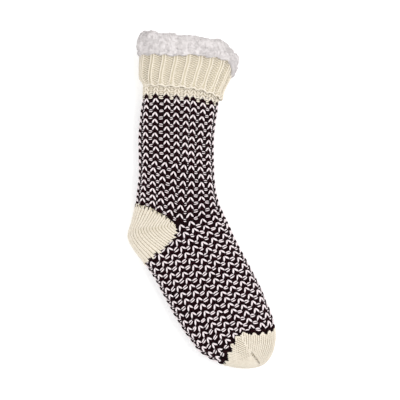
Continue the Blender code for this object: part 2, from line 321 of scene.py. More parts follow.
SHERPA_ROLL = (
    Section(ROLL_TOP, 0.0930, -0.0050, 0.0470, 0.0085),
    Section(-0.1850, 0.1110, -0.0042, 0.0600, 0.0030),
    Section(-0.1720, 0.1265, 0.0015, 0.0670, 0.0),
    Section(ROLL_FOOT, 0.1320, 0.0055, 0.0690, 0.0),
)

CUFF_WALES = (0.45, 1.30, 2.10, 3.06, 3.93, 4.91, 5.92, 6.86, 7.86)
CUFF_HEM = (
    Hem(-1.0, -0.0056),
    Hem(-0.5, -0.0064),
    Hem(0.0, -0.0062),
    Hem(0.45, -0.0046),
    Hem(0.85, 0.0010),
    Hem(1.0, 0.0050),
)
SHERPA_HEM = (
    Hem(-1.0, 0.0014),
    Hem(-0.37, -0.0010),
    Hem(0.15, -0.0044),
    Hem(0.55, -0.0050),
    Hem(0.78, -0.0020),
    Hem(0.93, 0.0023),
    Hem(1.0, 0.0053),
)
# The courses of the pattern, charted at five wales of the top side, in metres along the centreline. Between
# the leg and the foot the back half skips the heel pocket.
COURSE_WALES = (1.3, 4.2, 6.4, 7.3, 8.6)
LEG_COURSES = (
    Course(0.0, -0.1085, -0.1115, -0.1115, -0.1113, -0.1110),
    Course(0.5, -0.1035, -0.1070, -0.1068, -0.1065, -0.1060),
    Course(3.5, -0.0780, -0.0808, -0.0810, -0.0809, -0.0808),
    Course(7.5, -0.0418, -0.0452, -0.0465, -0.0467, -0.0469),
    Course(10.5, -0.0164, -0.0164, -0.0190, -0.0203, -0.0215),
    Course(12.5, 0.0040, 0.0045, -0.0010, -0.0032, -0.0048),
    Course(14.5, 0.0260, 0.0260, 0.0155, 0.0112, 0.0085),
    Course(15.5, 0.0395, 0.0370, 0.0235, 0.0172, 0.0137),
    Course(16.6, 0.0520, 0.0480, 0.0305, 0.0236, 0.0193),
)
FOOT_COURSES = (
    Course(16.5, 0.0520, 0.0485, 0.0605, 0.0628, 0.0665),
    Course(17.5, 0.0645, 0.0590, 0.0695, 0.0714, 0.0745),
    Course(19.5, 0.0855, 0.0803, 0.0865, 0.0886, 0.0920),
    Course(22.5, 0.1105, 0.1095, 0.1125, 0.1156, 0.1205),
    Course(25.5, 0.1385, 0.1380, 0.1400, 0.1431, 0.1480),
    Course(28.5, 0.1667, 0.1645, 0.1680, 0.1717, 0.1775),
    Course(30.5, 0.1870, 0.1812, 0.1847, 0.1897, 0.1977),
    Course(32.5, 0.2080, 0.1985, 0.2031, 0.2090, 0.2184),
    Course(33.6, 0.2215, 0.2062, 0.2135, 0.2195, 0.2290),
)
HEEL_POINT = 4.93
HEEL_TOP = (
    Border(HEEL_POINT, 0.0485),
    Border(5.05, 0.0445),
    Border(5.33, 0.0405),
    Border(5.83, 0.0355),
    Border(6.42, 0.0308),
    Border(7.25, 0.0250),
    Border(7.90, 0.0224),
    Border(8.90, 0.0200),
    Border(10.0, 0.0190),
)
HEEL_BASE = (
    Border(HEEL_POINT, 0.0495),
    Border(5.05, 0.0535),
    Border(5.25, 0.0567),
    Border(5.75, 0.0605),
    Border(6.42, 0.0640),
    Border(7.25, 0.0670),
    Border(8.10, 0.0692),
    Border(8.90, 0.0710),
    Border(10.0, 0.0720),
)
TOE_BORDER = (
    Border(0.0, 0.2205),
    Border(1.20, 0.2200),
    Border(2.00, 0.2184),
    Border(2.60, 0.2163),
    Border(3.20, 0.2133),
    Border(3.70, 0.2096),
    Border(4.10, 0.2058),
    Border(4.45, 0.2046),
    Border(5.25, 0.2056),
    Border(5.55, 0.2095),
    Border(6.00, 0.2130),
    Border(6.50, 0.2175),
    Border(7.20, 0.2215),
    Border(7.80, 0.2260),
    Border(8.80, 0.2295),
    Border(10.0, 0.2305),
)
TOE_GORE = (
    LinePoint(0.2070, 0.2290),
    LinePoint(0.2223, 0.2403),
    LinePoint(0.2347, 0.2546),
    LinePoint(0.2453, 0.2560),
    LinePoint(0.2519, 0.2704),
)
WALE_ROWS = (
    WaleRow(-0.113, (1.70, 2.64, 3.64, 4.30, 5.31, 6.35, 7.50, 8.65)),
    WaleRow(-0.090, (1.30, 2.42, 3.38, 4.12, 5.12, 6.08, 7.33, 8.46)),
    WaleRow(-0.065, (1.33, 2.34, 3.24, 3.95, 4.86, 5.90, 7.15, 8.22)),
    WaleRow(-0.040, (1.40, 2.47, 3.31, 3.96, 4.80, 5.85, 7.00, 8.15)),
    WaleRow(-0.010, (1.30, 2.33, 3.36, 4.25, 5.24, 6.38, 7.42, 8.42)),
    WaleRow(0.020, (1.30, 2.46, 3.57, 4.48, 5.42, 6.44, 7.25, 8.36)),
    WaleRow(0.072, (1.62, 2.74, 3.68, 4.55, 5.46, 6.47, 7.50, 8.58)),
    WaleRow(0.100, (1.42, 2.50, 3.42, 4.33, 5.29, 6.40, 7.50, 8.62)),
    WaleRow(0.140, (1.13, 2.17, 3.21, 4.17, 5.23, 6.31, 7.38, 8.58)),
    WaleRow(0.180, (1.08, 2.08, 3.08, 4.08, 5.29, 6.33, 7.50, 8.58)),
    WaleRow(0.210, (1.35, 2.22, 3.34, 4.28, 5.06, 6.00, 7.28, 8.42)),
    WaleRow(0.2225, (1.70, 2.66, 3.50, 4.30, 4.95, 5.70, 6.80, 8.20)),
)


@dataclass(frozen=True)
class Crease:
    """A soft trough along the sock, or a ridge where its depth is negative."""

    line: tuple[LinePoint, ...]
    depth: float
    width: float
    fade: float = 0.012

    def relief(self, at: Array, share: Array, round_length: Array) -> Array:
        """How far the surface is moved outwards.

        Args:
            at: Stations along the centreline.
            share: Places round the section.
            round_length: Length round the section there.

        Returns:
            A move at each place, less than 0 in a trough.
        """
        stations = [row.at for row in self.line]
        centre = np.interp(at, stations, [row.share for row in self.line])
        away = (np.mod(share - centre + 0.5, 1.0) - 0.5) * round_length
        shown = ease(at, stations[0] - self.fade, stations[0] + self.fade)
        shown = shown * (1 - ease(at, stations[-1] - self.fade, stations[-1] + self.fade))
        return -self.depth * (shown * np.exp(-((away / self.width) ** 2)))


TOE_CREASE = Crease(
    (
        LinePoint(0.2335, 0.2418),
        LinePoint(0.2376, 0.2425),
        LinePoint(0.2433, 0.2439),
        LinePoint(0.2491, 0.2518),
        LinePoint(0.2539, 0.2990),
    ),
    depth=0.0050,
    width=0.0009,
    fade=0.002,
)
TOE_RIDGE = Crease(
    (LinePoint(0.2390, 0.2800), LinePoint(0.2453, 0.2860), LinePoint(0.2519, 0.3050)),
    depth=-0.0007,
    width=0.0026,
    fade=0.003,
)
LEG_TROUGH = Crease(
    (LinePoint(-0.1050, 0.2500), LinePoint(-0.0650, 0.2200), LinePoint(-0.0300, 0.2250)),
    depth=0.0012,
    width=0.0050,
)


@dataclass
class Layer:
    """A tubular surface from a table of sections, which can close in a round toe and carry creases."""

    sections: tuple[Section, ...]
    closes: bool = False
    creases: tuple[Crease, ...] = ()
    top_round: float = 2.5
    floor_round: float = 3.2
    pressed: float = 0.0015
    toe_outline_round: float = 1.7
    toe_crown_round: float = 2.1
    toe_towards_instep: float = 0.011
    toe_swing: float = 1.5
    toe_lift_share: float = 0.35
    toe_end: float = 0.9995
    open_steps: int = 90
    toe_steps: int = 60
    outline_steps: int = 721
    spokes: int = 240
    along_step: float = 0.0006
    round_step: float = 0.002
    stations: Array = field(init=False)
    across_grid: Array = field(init=False)
    height_grid: Array = field(init=False)
    round_grid: Array = field(init=False)

    def __post_init__(self) -> None:
        """Tabulates the outlines, spaced evenly round every section."""
        first, last = self.sections[0].at, self.sections[-1].at
        self.stations = np.linspace(first, last, self.open_steps)
        if self.closes:
            closing = np.sin(np.linspace(0, math.pi / 2, self.toe_steps)[1:])
            self.stations = np.append(self.stations, last + closing * (TOE_TIP - last) * self.toe_end)
        depth, _, thick, _ = self.columns(self.stations)
        outlines = [self.even_outline(d, t) for d, t in zip(depth, thick)]
        self.across_grid = np.array([row[0] for row in outlines])
        self.height_grid = np.array([row[1] for row in outlines])
        self.round_grid = np.array([row[2] for row in outlines])

    def columns(self, at: Array) -> tuple[Array, Array, Array, Array]:
        """Reads the sections' table, drawn in at the toe where the layer closes.

        Args:
            at: Stations along the centreline.

        Returns:
            Depth, shift, thickness and lift there.
        """
        table = np.array(self.sections).T
        where = np.clip(at, table[0, 0], table[0, -1])
        depth, shift, thick, lift = (smooth_through(table[0], column, where) for column in table[1:])
        if self.closes:
            share = np.clip((at - TOE_ROOT) / (TOE_TIP - TOE_ROOT), 0.0, self.toe_end)
            crown = (1 - share**self.toe_crown_round) ** (1 / self.toe_crown_round)
            lift = lift + self.toe_lift_share * thick * (1 - crown)
            thick = thick * crown
            depth = depth * (1 - share**self.toe_outline_round) ** (1 / self.toe_outline_round)
            shift = shift + self.toe_towards_instep * share**self.toe_swing
        return depth, shift, thick, lift

    def even_outline(self, depth: float, thick: float) -> tuple[Array, Array, float]:
        """Spaces points evenly round a section.

        Args:
            depth: The section's size from back to front.
            thick: Its size from the floor side to the top side.

        Returns:
            Shares of the depth and of the thickness at the points, and the length round the section.
        """
        angle = np.linspace(0, 2 * math.pi, self.outline_steps)
        power = 2 / np.where(np.sin(angle) > 0, self.top_round, self.floor_round)
        across = np.sign(np.cos(angle)) * np.abs(np.cos(angle)) ** power
        height = np.sign(np.sin(angle)) * np.abs(np.sin(angle)) ** power
        run = np.hypot(np.diff(across) * depth / 2, np.diff(height) * thick / 2)
        length = np.concatenate([[0.0], np.cumsum(run)])
        even = np.linspace(0, length[-1], self.spokes + 1)
        return np.interp(even, length, across), np.interp(even, length, height), float(length[-1])

    def read(self, grid: Array, at: Array, share: Array) -> Array:
        """Reads a tabulated outline between its stations and spokes.

        Args:
            grid: The table, by station and spoke.
            at: Stations along the centreline.
            share: Places round the section.

        Returns:
            The values there.
        """
        row = np.interp(at, self.stations, np.arange(len(self.stations)))
        low = np.clip(row.astype(int), 0, len(self.stations) - 2)
        spoke = np.mod(share, 1.0) * self.spokes
        near = np.minimum(spoke.astype(int), self.spokes - 1)
        t, u = row - low, spoke - near
        before = grid[low, near] * (1 - u) + grid[low, near + 1] * u
        after = grid[low + 1, near] * (1 - u) + grid[low + 1, near + 1] * u
        return before * (1 - t) + after * t

    def across(self, at: Array, share: Array) -> Array:
        """Share across the plan, from -1 at the back to 1 at the front."""
        return self.read(self.across_grid, at, share)

    def round_length(self, at: Array) -> Array:
        """Length round the section."""
        return np.interp(at, self.stations, self.round_grid)

    def point(
        self, at: Array | float, share: Array | float, inset: Array | float = 0.0, tilt: float = 0.0
    ) -> Array:
        """Points on the surface, or under it.

        Args:
            at: Stations along the centreline.
            share: Places round the section.
            inset: How far the points lie under the surface.
            tilt: How much further along they lie at the front than at the middle.

        Returns:
            The points.
        """
        at, share = np.broadcast_arrays(np.asarray(at, float), np.asarray(share, float))
        depth, shift, thick, lift = self.columns(at)
        across = self.across(at, share)
        height = self.read(self.height_grid, at, share)
        length = self.round_length(at)
        for crease in self.creases:
            inset = inset - crease.relief(at, share, length)
        plan, front = LINE.place(at + tilt * across)
        plan = plan + front * (shift + (depth / 2 - inset) * across)[..., None]
        pressed = np.where(height < 0, self.pressed, 0.0)
        level = lift + thick / 2 + (thick / 2 + pressed - inset) * height
        level = np.maximum(level, lift + inset)
        return np.concatenate([plan, level[..., None]], axis=-1)

    def under(self, at: Array | float, share: Array, deep: float) -> Array:
        """Points straight under the surface."""
        points, outs = self.lay(at, share)
        return points - outs * deep

    def lay(self, at: Array | float, share: Array) -> tuple[Array, Array]:
        """Points on the surface and the unit vectors that point straight out of it.

        Args:
            at: Stations along the centreline.
            share: Places round the section.

        Returns:
            The points and the outward unit vectors.
        """
        along = self.point(at + self.along_step, share) - self.point(at - self.along_step, share)
        around = self.point(at, share + self.round_step) - self.point(at, share - self.round_step)
        return self.point(at, share), unit(np.cross(around, along))


@dataclass(frozen=True)
class Finish:
    """What a piece is made of: a colour that is mottled between two close tones."""

    name: str
    tone: tuple[float, float, float]
    shade: tuple[float, float, float]

    def material(self) -> bpy.types.Material:
        """Makes the material, or finds the one already made.

        Returns:
            The material.
        """
        if self.name in bpy.data.materials:
            return bpy.data.materials[self.name]
        made = bpy.data.materials.new(self.name)
        made.use_nodes = True
        made.diffuse_color = (*self.tone, 1.0)
        self.wire(made.node_tree, made.node_tree.nodes["Principled BSDF"])
        return made

    def wire(self, tree: bpy.types.NodeTree, shader: bpy.types.Node) -> None:
        """Sets the shader and links its textures, which each kind of finish does in its own way."""
        raise NotImplementedError

    def noise(
        self, tree: bpy.types.NodeTree, scale: float, detail: float, roughness: float = 0.5
    ) -> bpy.types.NodeSocket:
        """Adds noise that is fixed to the object.

        Args:
            tree: The material's nodes.
            scale: How fine it is.
            detail: How many finer layers it has.
            roughness: How strong those are.

        Returns:
            The noise.
        """
        place = tree.nodes.new("ShaderNodeTexCoord")
        made = tree.nodes.new("ShaderNodeTexNoise")
        made.inputs["Scale"].default_value = scale
        made.inputs["Detail"].default_value = detail
        made.inputs["Roughness"].default_value = roughness
        tree.links.new(place.outputs["Object"], made.inputs["Vector"])
        return made.outputs["Fac"]

    def mottle(
        self,
        tree: bpy.types.NodeTree,
        shader: bpy.types.Node,
        cloud: bpy.types.NodeSocket,
        low: float,
        high: float,
    ) -> None:
        """Colours the shader by noise.

        Args:
            tree: The material's nodes.
            shader: The shader that is coloured.
            cloud: The noise.
            low: What the noise is where the colour is the shade.
            high: What it is where the colour is the tone.
        """
        ramp = tree.nodes.new("ShaderNodeValToRGB")
        ramp.color_ramp.elements[0].position = low
        ramp.color_ramp.elements[0].color = (*self.shade, 1.0)
        ramp.color_ramp.elements[1].position = high
        ramp.color_ramp.elements[1].color = (*self.tone, 1.0)
        tree.links.new(cloud, ramp.inputs["Fac"])
        tree.links.new(ramp.outputs["Color"], shader.inputs["Base Color"])

    def raised(
        self, tree: bpy.types.NodeTree, height: bpy.types.NodeSocket, strength: float, distance: float
    ) -> bpy.types.Node:
        """Adds relief.

        Args:
            tree: The material's nodes.
            height: What raises it.
            strength: How much of it shows.
            distance: How high it is.

        Returns:
            The node that bends the surface's normal.
        """
        made = tree.nodes.new("ShaderNodeBump")
        made.inputs["Strength"].default_value = strength
        made.inputs["Distance"].default_value = distance
        tree.links.new(height, made.inputs["Height"])
        return made


@dataclass(frozen=True)
class YarnFinish(Finish):
    """Spun yarn: a soft sheen, loose fibres, and the twist of its plies as relief."""

    roughness: float = 0.92
    sheen: float = 0.25
    sheen_roughness: float = 0.45
    gloss: float = 0.12
    twist: float = 0.35
    fuzz: float = 0.35
    relief: float = 0.0004
    scale: float = 260.0
    fuzz_scale: float = 2600.0

    def wire(self, tree: bpy.types.NodeTree, shader: bpy.types.Node) -> None:
        """Sets the shader and links its textures.

        Args:
            tree: The material's nodes.
            shader: The material's shader.
        """
        shader.inputs["Roughness"].default_value = self.roughness
        shader.inputs["Sheen Weight"].default_value = self.sheen
        shader.inputs["Sheen Roughness"].default_value = self.sheen_roughness
        shader.inputs["Specular IOR Level"].default_value = self.gloss
        cloud = self.noise(tree, self.scale, detail=4.0, roughness=0.65)
        self.mottle(tree, shader, cloud, low=0.30, high=0.62)
        fuzz = self.raised(tree, self.noise(tree, self.fuzz_scale, detail=3.0), self.fuzz, self.relief)
        place = tree.nodes.new("ShaderNodeTexCoord")
        plies = tree.nodes.new("ShaderNodeTexWave")
        plies.wave_type = "BANDS"
        plies.bands_direction = "DIAGONAL"
        plies.inputs["Scale"].default_value = 1.0
        plies.inputs["Distortion"].default_value = 0.6
        tree.links.new(place.outputs["UV"], plies.inputs["Vector"])
        twist = self.raised(tree, plies.outputs["Fac"], self.twist, self.relief)
        tree.links.new(fuzz.outputs["Normal"], twist.inputs["Normal"])
        tree.links.new(twist.outputs["Normal"], shader.inputs["Normal"])


WHITE_YARN = YarnFinish("white_yarn", (0.88, 0.795, 0.81), (0.78, 0.685, 0.70))
DARK_YARN = YarnFinish("dark_yarn", (0.0165, 0.0013, 0.0036), (0.0070, 0.0005, 0.0014), sheen=0.0)
CREAM_YARN = YarnFinish("cream_yarn", (0.81, 0.745, 0.637), (0.72, 0.65, 0.54))
SHERPA_HAIR = YarnFinish(
    "sherpa_hair", (0.695, 0.660, 0.655), (0.640, 0.608, 0.604), sheen=0.15, twist=0.1
)


@dataclass(frozen=True)
class GroundFinish(Finish):
    """Matt cloth between the stitches, pile or floor paper, its surface broken up as its colour is."""

    scale: float
    relief: float
    glow: float = 0.0
    roughness: float = 0.95
    gloss: float = 0.08

    def wire(self, tree: bpy.types.NodeTree, shader: bpy.types.Node) -> None:
        """Sets the shader and links its textures.

        Args:
            tree: The material's nodes.
            shader: The material's shader.
        """
        shader.inputs["Roughness"].default_value = self.roughness
        shader.inputs["Specular IOR Level"].default_value = self.gloss
        shader.inputs["Emission Color"].default_value = (1.0, 1.0, 1.0, 1.0)
        shader.inputs["Emission Strength"].default_value = self.glow
        cloud = self.noise(tree, self.scale, detail=5.0, roughness=0.7)
        self.mottle(tree, shader, cloud, low=0.33, high=0.66)
        bump = self.raised(tree, cloud, strength=0.5, distance=self.relief)
        tree.links.new(bump.outputs["Normal"], shader.inputs["Normal"])


DARK_CLOTH = GroundFinish(
    "dark_cloth", (0.010, 0.003, 0.004), (0.004, 0.001, 0.002), scale=900.0, relief=0.0005
)
# Painted shade: the rib's ground, seen between its stitches, is coloured a darker, more olive cream than
# the yarn it is knitted from, standing in for the shade in those recesses.
SHADED_CREAM_CLOTH = GroundFinish(
    "shaded_cream_cloth", (0.60, 0.54, 0.41), (0.48, 0.43, 0.32), scale=700.0, relief=0.0006
)
# Painted shade: the ground that shows in the grooves and holes of the heel and toe is a darker cream than
# the yarn, standing in for the shade there.
SHADED_CREAM_GROOVE = GroundFinish(
    "shaded_cream_groove", (0.60, 0.54, 0.40), (0.50, 0.445, 0.31), scale=700.0, relief=0.0006
)
SHERPA_CLOTH = GroundFinish(
    "sherpa_cloth", (0.695, 0.660, 0.655), (0.630, 0.598, 0.594), scale=420.0, relief=0.0012
)
FLOOR_PAPER = GroundFinish(
    "floor_paper", (0.93, 0.93, 0.93), (0.92, 0.92, 0.92), scale=6.0, relief=0.0001, glow=0.20
)


def dress(piece: bpy.types.Object, finish: Finish, node: Node | None) -> None:
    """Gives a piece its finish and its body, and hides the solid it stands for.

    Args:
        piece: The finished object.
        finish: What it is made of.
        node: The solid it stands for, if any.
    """
    piece.data.materials.clear()
    piece.data.materials.append(finish.material())
    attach(piece, "root")
    if node:
        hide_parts(node.value)
    LOG.info("%s: %d faces", piece.name, len(piece.data.polygons))


def link_mesh(name: str, data: bpy.types.Mesh) -> bpy.types.Object:
    """Links a mesh to the scene as an object at the origin.

    Args:
        name: Name of the object.
        data: The mesh.

    Returns:
        The object.
    """
    piece = bpy.data.objects.new(name, data)
    bpy.context.collection.objects.link(piece)
    return piece


@dataclass
class YarnLengths:
    """Thousands of short lengths of yarn, gathered from arrays into one mesh."""

    name: str
    sides: int = 6
    end_bulge: float = 0.75
    twist_rate: float = 900.0
    plies: float = 6.0
    centres: list[Array] = field(default_factory=list)
    outs: list[Array] = field(default_factory=list)
    radii: list[Array] = field(default_factory=list)

    def add(self, centres: Array, outs: Array, radii: Array) -> None:
        """Adds lengths of yarn that have as many points as each other.

        Args:
            centres: Points along each length.
            outs: Outward unit vectors of the cloth at those points.
            radii: Radius at those points.
        """
        self.centres.append(centres)
        self.outs.append(outs)
        self.radii.append(np.broadcast_to(radii, centres.shape[:2]))

    def tubes(self, centres: Array, outs: Array, radii: Array, first: int) -> tuple[Array, ...]:
        """Works out the rings and closed ends of lengths of yarn.

        Args:
            centres: Points along each length.
            outs: Outward unit vectors at those points.
            radii: Radius at those points.
            first: Number of the first vertex.

        Returns:
            Vertices, quads, triangles, and the cloth coordinates of the quads' and triangles' corners.
        """
        count, steps, sides = len(centres), centres.shape[1], self.sides
        along = unit(np.gradient(centres, axis=1))
        beside = unit(np.cross(along, outs))
        up = np.cross(beside, along)
        turn = 2 * math.pi * np.arange(sides) / sides
        ring = np.cos(turn)[:, None] * beside[:, :, None] + np.sin(turn)[:, None] * up[:, :, None]
        rings = centres[:, :, None] + radii[:, :, None, None] * ring
        start = centres[:, 0] - self.end_bulge * radii[:, 0, None] * along[:, 0]
        end = centres[:, -1] + self.end_bulge * radii[:, -1, None] * along[:, -1]
        ends = np.stack([start, end], axis=1)
        each = steps * sides + 2
        vertices = np.concatenate([rings.reshape(count, -1, 3), ends], axis=1).reshape(-1, 3)
        step, side = np.meshgrid(np.arange(steps - 1), np.arange(sides), indexing="ij")
        onward = (side + 1) % sides
        near, far = step * sides, (step + 1) * sides
        quad = np.stack([near + side, near + onward, far + onward, far + side], axis=-1).reshape(-1, 4)
        j = np.arange(sides)
        k = (j + 1) % sides
        last = (steps - 1) * sides
        head = np.stack([k, j, np.full(sides, each - 2)], axis=-1)
        tail = np.stack([last + j, last + k, np.full(sides, each - 1)], axis=-1)
        cap = np.concatenate([head, tail])
        base = first + each * np.arange(count)[:, None, None]
        lengths = np.linalg.norm(np.diff(centres[0], axis=0), axis=1)
        run = np.concatenate([[0], np.cumsum(lengths)]) * self.twist_rate
        v = np.stack([run[step], run[step], run[step + 1], run[step + 1]], axis=-1).reshape(-1, 4)
        u = self.plies * np.stack([side, side + 1, side + 1, side], axis=-1).reshape(-1, 4) / sides
        quad_uv = np.broadcast_to(np.stack([u, v], axis=-1), (count, len(quad), 4, 2)).reshape(-1, 2)
        cap_uv = np.zeros((count * len(cap) * 3, 2))
        return vertices, (quad + base).reshape(-1, 4), (cap + base).reshape(-1, 3), quad_uv, cap_uv

    def build(self) -> bpy.types.Object:
        """Makes the object.

        Returns:
            The object, shaded smooth, with the yarn's own coordinates as its UV map.
        """
        vertices, quads, caps, quad_uvs, cap_uvs = [], [], [], [], []
        first = 0
        for centres, outs, radii in zip(self.centres, self.outs, self.radii):
            made = self.tubes(centres, outs, radii, first)
            first += len(made[0])
            for store, part in zip((vertices, quads, caps, quad_uvs, cap_uvs), made):
                store.append(part)
        data = bpy.data.meshes.new(self.name)
        faces = np.concatenate(quads).tolist() + np.concatenate(caps).tolist()
        places = np.concatenate(vertices)
        places[:, 2] = np.maximum(places[:, 2], YARN_REST)
        data.from_pydata(places, [], faces)
        uv = np.concatenate([*quad_uvs, *cap_uvs]).astype(np.float32)
        data.uv_layers.new(name="yarn").data.foreach_set("uv", uv.ravel())
        data.shade_smooth()
        data.validate()
        return link_mesh(self.name, data)


def carried_round(name: str, rings: list[Array]) -> bpy.types.Object:
    """Carries a closed profile round the sock: one circle, extruded from ring to ring and set on each.

    Args:
        name: Name of the object.
        rings: The points of each ring, as many in each. The last is joined to the first.

    Returns:
        The object, shaded smooth.
    """
    mesh = bmesh.new()
    start = bmesh.ops.create_circle(mesh, cap_ends=False, segments=len(rings[0]), radius=1.0)["verts"]
    edges = list(mesh.edges)
    loops = [start]
    for _ in rings[1:]:
        grown = bmesh.ops.extrude_edge_only(mesh, edges=edges)["geom"]
        edges = [e for e in grown if isinstance(e, bmesh.types.BMEdge) and not e.link_faces[1:]]
        fresh = {item for item in grown if isinstance(item, bmesh.types.BMVert)}
        follow = []
        for vertex in loops[-1]:
            others = [edge.other_vert(vertex) for edge in vertex.link_edges]
            follow.append(next(other for other in others if other in fresh))
        loops.append(follow)
    for loop, ring in zip(loops, rings):
        for vertex, place in zip(loop, ring):
            vertex.co = place
    ends = [e for e in mesh.edges if len(e.link_faces) == 1]
    bmesh.ops.bridge_loops(mesh, edges=ends)
    bmesh.ops.recalc_face_normals(mesh, faces=mesh.faces)
    data = bpy.data.meshes.new(name)
    mesh.to_mesh(data)
    mesh.free()
    data.shade_smooth()
    return link_mesh(name, data)


@dataclass(frozen=True)
class CourseField:
    """Turns course numbers and places round the sock into stations, for the leg or for the foot."""

    courses: tuple[Course, ...]

    def station(self, course: Array, place: Array) -> Array:
        """Finds stations.

        Args:
            course: Course numbers, with the part of a repeat.
            place: Places round the section, in even wales from the shin.

        Returns:
            Stations along the centreline.
        """
        course, place = np.broadcast_arrays(course, place)
        table = np.array(self.courses).T
        values = [smooth_through(table[0], column, course, True) for column in table[1:]]
        fold = np.mod(place, WALES)
        fold = np.minimum(fold, WALES - fold)
        at = values[0]
        for (near, far), low, high in zip(zip(COURSE_WALES, COURSE_WALES[1:]), values, values[1:]):
            share = np.clip((fold - near) / (far - near), 0.0, 1.0)
            at = at + (high - low) * (0.5 * share + 0.5 * share * share * (3 - 2 * share))
        return at


@dataclass(frozen=True)
class BorderField:
    """Courses that follow a border, evenly spaced from the one that lies on it."""

    rows: tuple[Border, ...]
    first: float
    pitch: float

    def station(self, course: Array, place: Array) -> Array:
        """Finds stations, from course numbers and places in even wales from the shin."""
        return border_at(self.rows, np.asarray(place, float) / WALES) + (course - self.first) * self.pitch


LEG_FIELD = CourseField(LEG_COURSES)
FOOT_FIELD = CourseField(FOOT_COURSES)
TOE_FIELD = BorderField(TOE_BORDER, first=33.54, pitch=0.0090)


def wale_place(number: Array, at: Array) -> Array:
    """Finds where wales run. The wales of the floor side share out the rest of the way round.

    Args:
        number: Wale numbers, from 0.
        at: Stations along the centreline.

    Returns:
        Places round the section, in even wales from the shin.
    """
    rows = []
    for row in WALE_ROWS:
        first, last = row.places[0], row.places[-1]
        under = np.linspace(last, first + WALES, WALES - len(row.places) + 2)[1:-1]
        rows.append([*row.places, *under])
    table = np.array(rows)
    where = np.interp(at, [row.at for row in WALE_ROWS], np.arange(len(WALE_ROWS)))
    low = np.clip(where.astype(int), 0, len(WALE_ROWS) - 2)
    share = where - low
    share = share * share * (3 - 2 * share)
    number = np.asarray(number, int)
    lap = WALES * (number // WALES)
    number = number % WALES
    return lap + table[low, number] * (1 - share) + table[low + 1, number] * share


class StitchShape(NamedTuple):
    """A kind of large stitch: its lengths along in repeats, across in wales, and the rest in metres."""

    rise: float
    spread: float
    radius: float
    bump_at: float
    bump_part: float
    bump_half: float
    bump_radius: float
    bump_sunk: float


